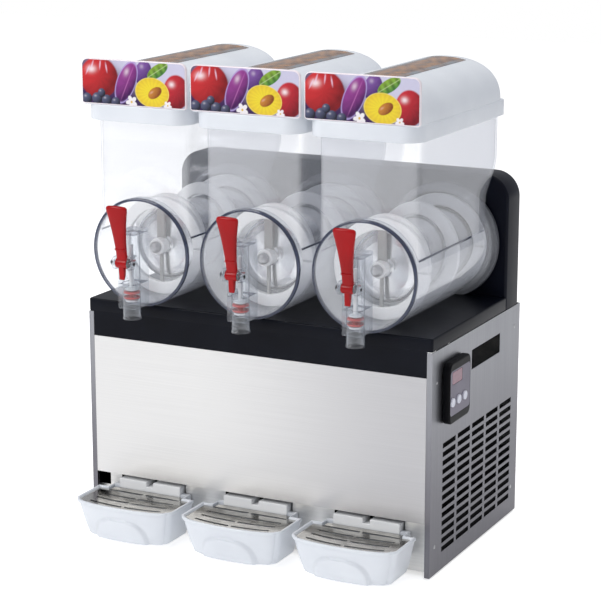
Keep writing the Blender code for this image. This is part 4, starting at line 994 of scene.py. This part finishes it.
def lidVault():
    d = lidShape
    angle = np.linspace(0, math.pi, 61)
    c, s = np.cos(angle), np.sin(angle)
    x = np.sign(c) * np.abs(c) ** (2 / d["power"])
    z = np.abs(s) ** (2 / d["power"])
    turn = np.linspace(0, math.pi / 2, 9)
    shrink = np.concatenate([[1, 1, 1, 1], 1 - 0.07 * (1 - np.cos(turn))[1:]])
    depth = np.concatenate([[d["front"] + 0.002, 0.05, 0.15, d["vaultRear"] - 0.010],
                            d["vaultRear"] - 0.010 + 0.010 * np.sin(turn)[1:]])
    base = d["ledge"] - 0.0012
    grid = np.stack([shrink[:, None] * d["vaultHalf"] * x, np.broadcast_to(depth[:, None], (len(depth), 61)),
                     base + shrink[:, None] * (d["crown"] - base) * z], -1)
    return shell(grid)


def labelOutline(inset):
    d = labelShape
    h, low, top = d["half"] - inset, d["low"] + inset, d["top"] - inset
    return roundOff([(-h, low), (h, low), (h, top), (-h, top)],
                    [d["lowCorner"] - inset / 2, d["lowCorner"] - inset / 2, d["topCorner"] - inset,
                     d["topCorner"] - inset], 8)


def ellipse(x, z, centre, size, turn=0.0, soft=0.08):
    # how far each point lies out from the middle, and a mask that fades over a thin soft edge
    c, s = math.cos(turn), math.sin(turn)
    u = ((x - centre[0]) * c + (z - centre[1]) * s) / size[0]
    v = (-(x - centre[0]) * s + (z - centre[1]) * c) / size[1]
    out = np.sqrt(u * u + v * v)
    return np.clip((1 - out) / soft, 0, 1), u, v, out


def lay(picture, mask, colour):
    return picture * (1 - mask[..., None]) + np.asarray(colour) * mask[..., None]


def fruit(picture, x, z, centre, size, deep, bright, turn=0.0, shine=0.8):
    # a round fruit: lighter towards the upper left, a rim of shade and a soft highlight
    mask, u, v, out = ellipse(x, z, centre, size, turn)
    lift = np.clip(0.55 - 0.45 * u + 0.45 * v - 0.35 * out ** 3, 0, 1)[..., None]
    streak = 0.03 * np.sin(9 * np.arctan2(v, u) + 3 * out)[..., None]
    skin = np.asarray(deep) * (1 - lift) + np.asarray(bright) * lift + streak * np.asarray(bright)
    picture = lay(picture, mask, np.clip(skin, 0, 1))
    glow = np.exp(-(((u + 0.35) / 0.22) ** 2 + ((v - 0.42) / 0.16) ** 2)) * mask * shine
    return lay(picture, glow, (1.0, 0.93, 0.95))


def paintFruit(x, z):
    # x and z in millimetres from the panel's middle; a dark violet ground that pales to the upper right
    pale = np.clip(0.5 + 0.0068 * x + 0.014 * z + 0.10 * np.sin(0.06 * x + 0.09 * z), 0, 1)[..., None]
    pale = pale * pale * (3 - 2 * pale)
    picture = np.array([0.035, 0.008, 0.075]) * (1 - pale) + np.array([0.60, 0.58, 0.74]) * pale
    picture = fruit(picture, x, z, (18, 17), (15, 20), (0.035, 0.008, 0.10), (0.22, 0.09, 0.36), -0.3, 0.3)
    picture = fruit(picture, x, z, (-60, 6), (35, 33), (0.20, 0.002, 0.006), (0.68, 0.025, 0.03), 0.1)
    for cx, cz, lean in ((-72, 25, 1.25), (-58, 26, 1.45), (-47, 22, 1.75), (-80, 17, 1.1)):
        mask, u, v, out = ellipse(x, z, (cx, cz), (10, 1.8), lean, 0.7)
        picture = lay(picture, mask * 0.75, (0.86, 0.62, 0.78))
    picture = fruit(picture, x, z, (-12, 1), (17, 36), (0.055, 0.004, 0.085), (0.34, 0.05, 0.30), -0.42, 0.5)
    mask, u, v, out = ellipse(x, z, (-12, 1), (17, 36), -0.42, 0.05)
    picture = lay(picture, mask * np.exp(-((out - 0.93) / 0.05) ** 2) * 0.8, (0.50, 0.40, 0.78))
    groove = np.exp(-((u - 0.12) / 0.05) ** 2 - (v / 0.7) ** 4)
    picture = lay(picture, mask * groove * 0.5, (0.62, 0.20, 0.52))
    picture = fruit(picture, x, z, (75, -9), (23, 27), (0.18, 0.002, 0.010), (0.60, 0.02, 0.035), 0.0)
    mask, u, v, out = ellipse(x, z, (43, 21), (21, 9.5), 0.55)
    vein = 0.72 + 0.28 * np.cos(13 * u) * np.exp(-(v * 1.2) ** 2)
    leaf = np.stack([0.20 * vein + 0.10 * v, 0.40 * vein + 0.10 * v, 0.05 * vein], -1)
    picture = lay(picture, mask, np.clip(leaf, 0, 1))
    picture = lay(picture, mask * np.exp(-(v / 0.07) ** 2) * 0.7, (0.52, 0.66, 0.30))
    for cx, cz, r in ((-82, -27, 9), (-64, -26, 9.5), (-47, -28, 9), (-31, -30, 8), (-56, -17, 7)):
        picture = fruit(picture, x, z, (cx, cz), (r, r), (0.006, 0.006, 0.018), (0.10, 0.11, 0.20), 0, 0.35)
    mask, u, v, out = ellipse(x, z, (33, -12), (30, 23), -0.12, 0.04)
    rays = 0.03 * np.sin(20 * np.arctan2(v, u))
    flesh = np.stack([0.84 - 0.10 * out ** 4 + rays, 0.66 - 0.16 * out ** 3 + rays, 0.03 + 0 * out], -1)
    picture = lay(picture, mask, np.clip(flesh, 0, 1))
    picture = lay(picture, mask * np.clip((out - 0.92) / 0.05, 0, 1), (0.88, 0.72, 0.16))
    picture = fruit(picture, x, z, (38, -12), (13.5, 8), (0.24, 0.06, 0.008), (0.62, 0.24, 0.035), 0.55, 0.25)
    for cx, cz, r in ((-3, -28, 7.0), (60, -30, 5.0)):
        for k in range(5):
            a = 2 * math.pi * k / 5 + cx
            mask, u, v, out = ellipse(x, z, (cx + 0.8 * r * math.cos(a), cz + 0.8 * r * math.sin(a)),
                                      (0.72 * r, 0.52 * r), a, 0.2)
            picture = lay(picture, mask * 0.95, (0.90, 0.86, 0.88))
        mask, u, v, out = ellipse(x, z, (cx, cz), (0.32 * r, 0.32 * r), 0, 0.3)
        picture = lay(picture, mask, (0.70, 0.46, 0.10))
    return np.clip(picture, 0, 1)


def paintPeel(x, y):
    # mottled orange and brown slices along the crown strip, greyer towards its two long edges
    cells = np.sin(x * 0.21 + 1.7 * np.sin(y * 0.055)) * np.sin(y * 0.105 + 1.3 * np.sin(x * 0.13))
    rays = np.cos(9 * np.arctan2(x - 8 * np.sin(y * 0.05), (y % 52) - 26))
    tone = np.clip(0.42 + 0.34 * cells + 0.12 * rays, 0, 1)[..., None]
    picture = np.array([0.055, 0.022, 0.010]) * (1 - tone) + np.array([0.46, 0.20, 0.045]) * tone
    rind = np.clip(1 - np.abs(np.hypot(x, (y % 52) - 26) - 19) / 2.2, 0, 1)
    picture = lay(picture, rind * 0.5, (0.30, 0.10, 0.02))
    side = np.clip((np.abs(x) - 17) / 5, 0, 1) * (0.75 + 0.25 * np.sin(y * 0.09))
    return np.clip(lay(picture, side, (0.19, 0.21, 0.235)), 0, 1)


def printLook(name):
    look = startLook(name, (0.6, 0.3, 0.4), 0.22, coat=0.15, specular=0.3)
    colour = addNode(look, "ShaderNodeVertexColor", layer_name="ink")
    worn = addNode(look, "ShaderNodeMixRGB", blend_type="MULTIPLY")
    worn.inputs[0].default_value = 0.25
    join(look, colour.outputs["Color"], worn.inputs[1])
    ramp = addNode(look, "ShaderNodeValToRGB")
    ramp.color_ramp.elements[0].color = (0.72, 0.72, 0.72, 1)
    join(look, grain(look, (1, 1, 1), 160, 4), ramp.inputs["Fac"])
    join(look, ramp.outputs["Color"], worn.inputs[2])
    join(look, worn.outputs["Color"], look.node_tree.nodes["Principled BSDF"].inputs["Base Color"])
    roughen(look, grain(look, (1, 1, 1), 60), 0.16, 0.30)
    return look


labelPrint = printLook("labelPrint")
crownPrint = printLook("crownPrint")
borderWhite = moulded("borderWhite", (0.80, 0.72, 0.76), (0.88, 0.80, 0.84), (0.25, 0.35), coat=0.1)


def inked(piece, colours):
    ink = piece.data.attributes.new("ink", "FLOAT_COLOR", "POINT")
    flat = np.concatenate([colours.reshape(-1, 3), np.ones((colours[..., 0].size, 1))], 1)
    ink.data.foreach_set("color", flat.astype(np.float32).ravel())
    return piece


def thinSheet(name, grid, colours, look, body, n):
    # a printed film: one grid of points with its ink, given a thickness so that it is closed
    rows, cols = grid.shape[:2]
    r, c = np.meshgrid(np.arange(rows - 1), np.arange(cols - 1), indexing="ij")
    quads = np.stack([r * cols + c, r * cols + c + 1, (r + 1) * cols + c + 1, (r + 1) * cols + c], -1)
    mesh = bpy.data.meshes.new(name)
    mesh.from_pydata(grid.reshape(-1, 3) + middleOf(n), [], quads.reshape(-1, 4).tolist())
    mesh.materials.append(look)
    piece = bpy.data.objects.new(name, mesh)
    bpy.context.scene.collection.objects.link(piece)
    inked(piece, colours)
    film = piece.modifiers.new("film", "SOLIDIFY")
    film.thickness, film.offset = 0.00025, -1
    settle(piece)
    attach(piece, body)
    return piece


def makeLid(n):
    d, k = lidShape, labelShape
    body = "lid_%d" % n
    panel = slab(labelOutline(0), k["front"] + 0.0004, k["front"] + k["depth"], "xz", 0.0012, 4)
    build("lidShell_%d" % n, [lidSkirt(), lidVault()], whiteShell, body, n, ("lid_%d" % n,))
    build("labelPanel_%d" % n, [panel], borderWhite, body, n)
    rows, cols = 92, 240
    inset = k["border"]
    z = np.linspace(k["low"] + inset, k["top"] - inset, rows)
    up = np.maximum(z - (k["top"] - k["topCorner"]), 0)
    down = np.maximum(k["low"] + k["lowCorner"] - z, 0)
    cornerTop, cornerLow = k["topCorner"] - inset, k["lowCorner"] - inset
    half = (k["half"] - inset - (cornerTop - np.sqrt(np.maximum(cornerTop ** 2 - up ** 2, 0))) * (up > 0)
            - (cornerLow - np.sqrt(np.maximum(cornerLow ** 2 - down ** 2, 0))) * (down > 0))
    x = np.linspace(-1, 1, cols)[None] * half[:, None]
    zz = np.broadcast_to(z[:, None], x.shape)
    grid = np.stack([x, np.full_like(x, k["front"] + 0.0001), zz], -1)
    middle = (k["low"] + k["top"]) / 2
    thinSheet("labelFilm_%d" % n, grid, paintFruit(x * 1000, (zz - middle) * 1000), labelPrint, body, n)
    across = np.linspace(-0.020, 0.037, 46)
    along = np.linspace(k["front"] + k["depth"] + 0.001, d["vaultRear"] - 0.026, 150)
    xx, yy = np.meshgrid(across, along)
    zz = vaultHeight(xx, d["vaultHalf"], d["ledge"] - 0.0012, d["crown"]) + 0.0004
    thinSheet("crownFilm_%d" % n, np.stack([xx, yy, zz], -1), paintPeel(xx * 1000 - 8.5, yy * 1000),
              crownPrint, body, n)


for n in stations:
    makeLid(n)
print("lids done")

# drip trays and their grids

trayShape = {"half": 0.0870, "rearHalf": 0.069, "low": 0.008, "wall": 0.0025, "bow": 0.015,
             "reach": 0.100, "corner": 0.013, "step": -0.010, "rear": 0.0125,
             "tongueHalf": 0.0555, "tongueLow": 0.0615, "tongueHigh": 0.0779, "notch": 0.006,
             "lobeHalf": 0.047, "lobeTop": 0.047, "lobeDepth": 0.0052}
gridShape = {"height": 0.0605, "thick": 0.0015, "inset": 0.0055, "rearInset": 0.0065, "slots": 4,
             "first": -0.016, "pitch": 0.0175, "slot": 0.0042, "bow": 0.013, "half": 0.066}


def trayPlan(steps=8):
    # the front part: from its right rear corner forward, round, along the bowed front and back
    d = trayShape
    half, corner = d["half"], d["corner"]
    front = d["bow"] - d["reach"]
    side = np.stack([np.full(10, half), np.linspace(d["step"], front + corner, 10)], 1)
    a = np.radians(np.linspace(0, -60, steps))[1:]
    bend = np.stack([half - corner + corner * np.cos(a), front + corner + corner * np.sin(a)], 1)
    turnX, turnY = bend[-1]
    sweep = np.linspace(0, math.pi, 61)[1:-1]
    bow = np.stack([turnX * np.cos(sweep), turnY + (front - d["bow"] - turnY) * np.sin(sweep)], 1)
    mirror = np.array([-1, 1])
    return np.concatenate([side, bend, bow, bend[::-1] * mirror, side[::-1] * mirror])


def tailPlan(half, reach, step):
    # the narrow rear part, from the left shoulder round the back to the right shoulder
    midway = reach * 0.5 + step * 0.5
    return np.array([(-half - 0.0005, step), (-half, step + 0.0006), (-half, midway), (-half, reach),
                     (-half * 0.4, reach), (half * 0.4, reach), (half, reach), (half, midway),
                     (half, step + 0.0006), (half + 0.0005, step)])


def trayBody():
    # plans drawn in towards the foot; the wall turns over a lip at the rim and comes down inside
    d = trayShape
    outer = trayPlan()
    levels = [(0.845, 0.004 * (1 - math.sin(a)), d["low"] + 0.006 * (1 - math.cos(a)), 0)
              for a in np.linspace(0, math.pi / 2, 5)]
    levels += [(0.845 + 0.127 * share ** 0.8, 0.0, d["low"] + 0.006 + share * 0.0465, 0)
               for share in np.linspace(0.06, 1, 22)]
    levels += [(1.0, 0.0005, 0.0612, 0), (1.0, 0.0, 0.0620, 0), (1.0, 0.0, 0.0650, 0),
               (1.0, 0.0006, 0.0658, 0), (1.0, 0.0014, 0.0660, 0), (1.0, 0.0034, 0.0659, 0),
               (1.0, 0.0042, 0.0652, 1)]
    levels += [(0.845 + 0.140 * share, 0.0048, 0.0125 + share * 0.0500, 1) for share in np.linspace(1, 0, 10)]
    plans, heights = [], []
    for scale, inset, z, within in levels:
        front = drawIn(outer, inset)[0]
        front[:, 1] = np.minimum(front[:, 1], d["step"] - inset)
        front = np.stack([front[:, 0] * scale, d["step"] + (front[:, 1] - d["step"]) * scale], 1)
        # an arch-shaped lobe stands out of the front: full inside a super-ellipse, with fine ribs
        up = max(z - d["low"], 0) / (d["lobeTop"] - d["low"])
        away = (np.abs(front[:, 0]) / d["lobeHalf"]) ** 3 + up ** 2.6
        lobe = np.clip((1 - away) / 0.22, 0, 1)
        lobe = lobe * lobe * (3 - 2 * lobe) * (front[:, 1] < -0.055)
        ribs = 0.00035 * math.cos(z * 1700)
        if not within:
            front[:, 1] -= lobe * (d["lobeDepth"] + ribs)
        tailInset = min(inset, 0.0025) if within else min(inset, 0.0014)
        tailLow = max(z, 0.0285 if not within else 0.0310)
        reach = (0.0027 if within else d["rear"] - (inset if inset < 0.002 else 0.0014))
        tail = tailPlan((d["rearHalf"] - tailInset), reach, front[-1, 1])
        if inset > 0.002 and not within:
            tail[2:8, 1] = 0.0040
        plans.append(np.concatenate([front, tail]))
        heights.append(np.concatenate([np.full(len(front), z), np.full(len(tail), tailLow)]))
    return loft(plans, heights)


def trayTongue():
    d = trayShape
    t, low, high, k = d["tongueHalf"], d["tongueLow"], d["tongueHigh"], d["notch"]
    notchFoot = 0.070
    outline = roundOff([(-t, low), (t, low), (t, high), (k, high), (k, notchFoot), (-k, notchFoot),
                        (-k, high), (-t, high)],
                       [0.0008, 0.0008, 0.002, 0.0015, 0.001, 0.001, 0.0015, 0.002], 5)
    return slab(outline, 0.0012, 0.0298, "xz", 0.0008, 3)


def gridSheet():
    # one dished sheet: rows of points follow the bowed front, and the long curved slots are left out
    g, d = gridShape, trayShape
    rear, front = -0.0013, -(d["reach"] - g["inset"])
    rows = np.linspace(0, 1, 109)
    cols = np.linspace(-1, 1, 121)
    half = d["half"] - g["inset"]
    share, side = np.meshgrid(rows, cols, indexing="ij")
    depth = rear + (front + d["bow"] - 0.0005 - rear) * share
    y = depth - (d["bow"] - 0.0005) * (1 - np.abs(side) ** 2.2) * np.clip((share - 0.12) / 0.88, 0, 1)
    width = np.where(depth > d["step"] - 0.0045, d["rearHalf"] - g["rearInset"], half)
    corner = np.clip((share - 0.90) / 0.10, 0, 1)
    width = width - 0.0085 * corner ** 2.4
    x = side * width
    mid = (rows[:-1] + rows[1:]) / 2
    midDepth = rear + (front + d["bow"] - rear) * mid
    slotNumber = (g["first"] - midDepth) / g["pitch"]
    inSlot = (np.abs(slotNumber - np.round(slotNumber)) < g["slot"] / g["pitch"] / 2) & (
        np.round(slotNumber) >= 0) & (np.round(slotNumber) < g["slots"])
    midSide = np.abs((cols[:-1] + cols[1:]) / 2)
    keep = lambda r, c: ~(inSlot[r] & (midSide[c] < 0.78) & (midSide[c] > 0.03))
    dish = 0.0006 * np.sin(math.pi * np.clip(share, 0, 1)) * (1 - side ** 4)
    grid = np.stack([x, y, g["height"] + g["thick"] - 0.0001 - dish], -1)
    return shell(grid, closeCols=False, capFirst=False, capLast=False, keep=keep)


def makeTray(n):
    build("dripBasin_%d" % n, [trayBody(), trayTongue()], [whiteShell, litTongueWhite], "tray_%d" % n, n,
          ("drip_tray_%d" % n,), crease=50, looks=[0, 1])
    g = gridShape
    grid = build("gridPlate_%d" % n, [gridSheet()], gridSteel, "grid_%d" % n, n, ("drip_grid_%d" % n,))
    sheet = grid.modifiers.new("sheet", "SOLIDIFY")
    sheet.thickness, sheet.offset = 0.0009, -1
    settle(grid)
    legs = [box((x - 0.0015, -0.060, 0.0108), (x + 0.0015, -0.030, g["height"] + 0.0002), 0.0004, 0.0006)
            for x in (-0.062, 0.062)]
    build("gridLegs_%d" % n, legs, gridSteel, "grid_%d" % n, n)


for n in stations:
    makeTray(n)
print("trays done")

# floor, light and camera

studio = {"floorSize": 14.0, "floorGlow": 0.66, "world": 0.60, "backdrop": 1.0}


def makeStudio():
    half = studio["floorSize"] / 2
    mesh = bpy.data.meshes.new("floor")
    mesh.from_pydata([(-half, -half, 0), (half, -half, 0), (half, half, 0), (-half, half, 0)], [],
                     [(0, 1, 2, 3)])
    floor = bpy.data.objects.new("floor", mesh)
    bpy.context.scene.collection.objects.link(floor)
    pale = moulded("paleFloor", (0.93, 0.93, 0.93), (0.94, 0.94, 0.94), (0.8, 0.85), pebble=60, depth=0.01,
                   specular=0.1)
    glow = pale.node_tree.nodes["Principled BSDF"]
    glow.inputs["Emission Color"].default_value = (1, 1, 1, 1)
    seenBy = addNode(pale, "ShaderNodeLightPath")
    level = addNode(pale, "ShaderNodeMapRange")
    level.inputs["To Min"].default_value = 0.4 * studio["floorGlow"]
    level.inputs["To Max"].default_value = studio["floorGlow"]
    join(pale, seenBy.outputs["Is Camera Ray"], level.inputs["Value"])
    join(pale, level.outputs["Result"], glow.inputs["Emission Strength"])
    mesh.materials.append(pale)

    world = bpy.data.worlds.new("studio")
    world.use_nodes = True
    tree = world.node_tree
    lit = tree.nodes["Background"]
    place = tree.nodes.new("ShaderNodeTexCoord")
    split = tree.nodes.new("ShaderNodeSeparateXYZ")
    ramp = tree.nodes.new("ShaderNodeValToRGB")
    ramp.color_ramp.elements[0].color = (0.80, 0.82, 0.87, 1)
    ramp.color_ramp.elements[0].position = 0.40
    ramp.color_ramp.elements[1].color = (1, 1, 1, 1)
    ramp.color_ramp.elements[1].position = 0.75
    seen = tree.nodes.new("ShaderNodeBackground")
    seen.inputs["Color"].default_value = (1, 1, 1, 1)
    seen.inputs["Strength"].default_value = studio["backdrop"]
    path = tree.nodes.new("ShaderNodeLightPath")
    mix = tree.nodes.new("ShaderNodeMixShader")
    tree.links.new(place.outputs["Generated"], split.inputs["Vector"])
    tree.links.new(split.outputs["Z"], ramp.inputs["Fac"])
    sideways = tree.nodes.new("ShaderNodeValToRGB")
    sideways.color_ramp.elements[0].position = 0.05
    sideways.color_ramp.elements[0].color = (1, 1, 1, 1)
    sideways.color_ramp.elements[1].position = 0.65
    sideways.color_ramp.elements[1].color = (0.66, 0.67, 0.70, 1)
    both = tree.nodes.new("ShaderNodeMixRGB")
    both.blend_type = "MULTIPLY"
    both.inputs[0].default_value = 1.0
    tree.links.new(split.outputs["X"], sideways.inputs["Fac"])
    tree.links.new(ramp.outputs["Color"], both.inputs[1])
    tree.links.new(sideways.outputs["Color"], both.inputs[2])
    tree.links.new(both.outputs["Color"], lit.inputs["Color"])
    tree.links.new(path.outputs["Is Camera Ray"], mix.inputs["Fac"])
    tree.links.new(lit.outputs["Background"], mix.inputs[1])
    tree.links.new(seen.outputs["Background"], mix.inputs[2])
    tree.links.new(mix.outputs["Shader"], tree.nodes["World Output"].inputs["Surface"])
    lit.inputs["Strength"].default_value = studio["world"]
    bpy.context.scene.world = world

    for name, place, aim, size, power in (
            ("keySoftbox", (-1.6, -2.4, 2.3), (0, 0, 0.4), 1.6, 46),
            ("topSoftbox", (0.2, 0.2, 2.8), (0, 0, 0.4), 2.2, 26),
            ("sideSoftbox", (2.6, -0.6, 1.3), (0, 0, 0.4), 1.4, 3)):
        lamp = bpy.data.lights.new(name, "AREA")
        lamp.shape, lamp.size, lamp.energy = "SQUARE", size, power
        ob = bpy.data.objects.new(name, lamp)
        ob.location = place
        direction = np.array(aim, float) - np.array(place, float)
        ob.rotation_euler = (math.acos(-direction[2] / np.linalg.norm(direction)), 0,
                             math.atan2(direction[1], direction[0]) - math.pi / 2)
        bpy.context.scene.collection.objects.link(ob)

    lens = bpy.data.cameras.new("studioCamera")
    lens.lens, lens.sensor_width = 121.1, 36
    camera = bpy.data.objects.new("studioCamera", lens)
    camera.location = (1.39455, -2.75825, 1.1107)
    camera.rotation_euler = (math.pi / 2 - 0.2333, 0, 0.4662)
    bpy.context.scene.collection.objects.link(camera)
    bpy.context.scene.camera = camera
    bpy.context.scene.view_settings.view_transform = "Standard"
    bpy.context.scene.cycles.transparent_max_bounces = 48


makeStudio()
print("studio done")
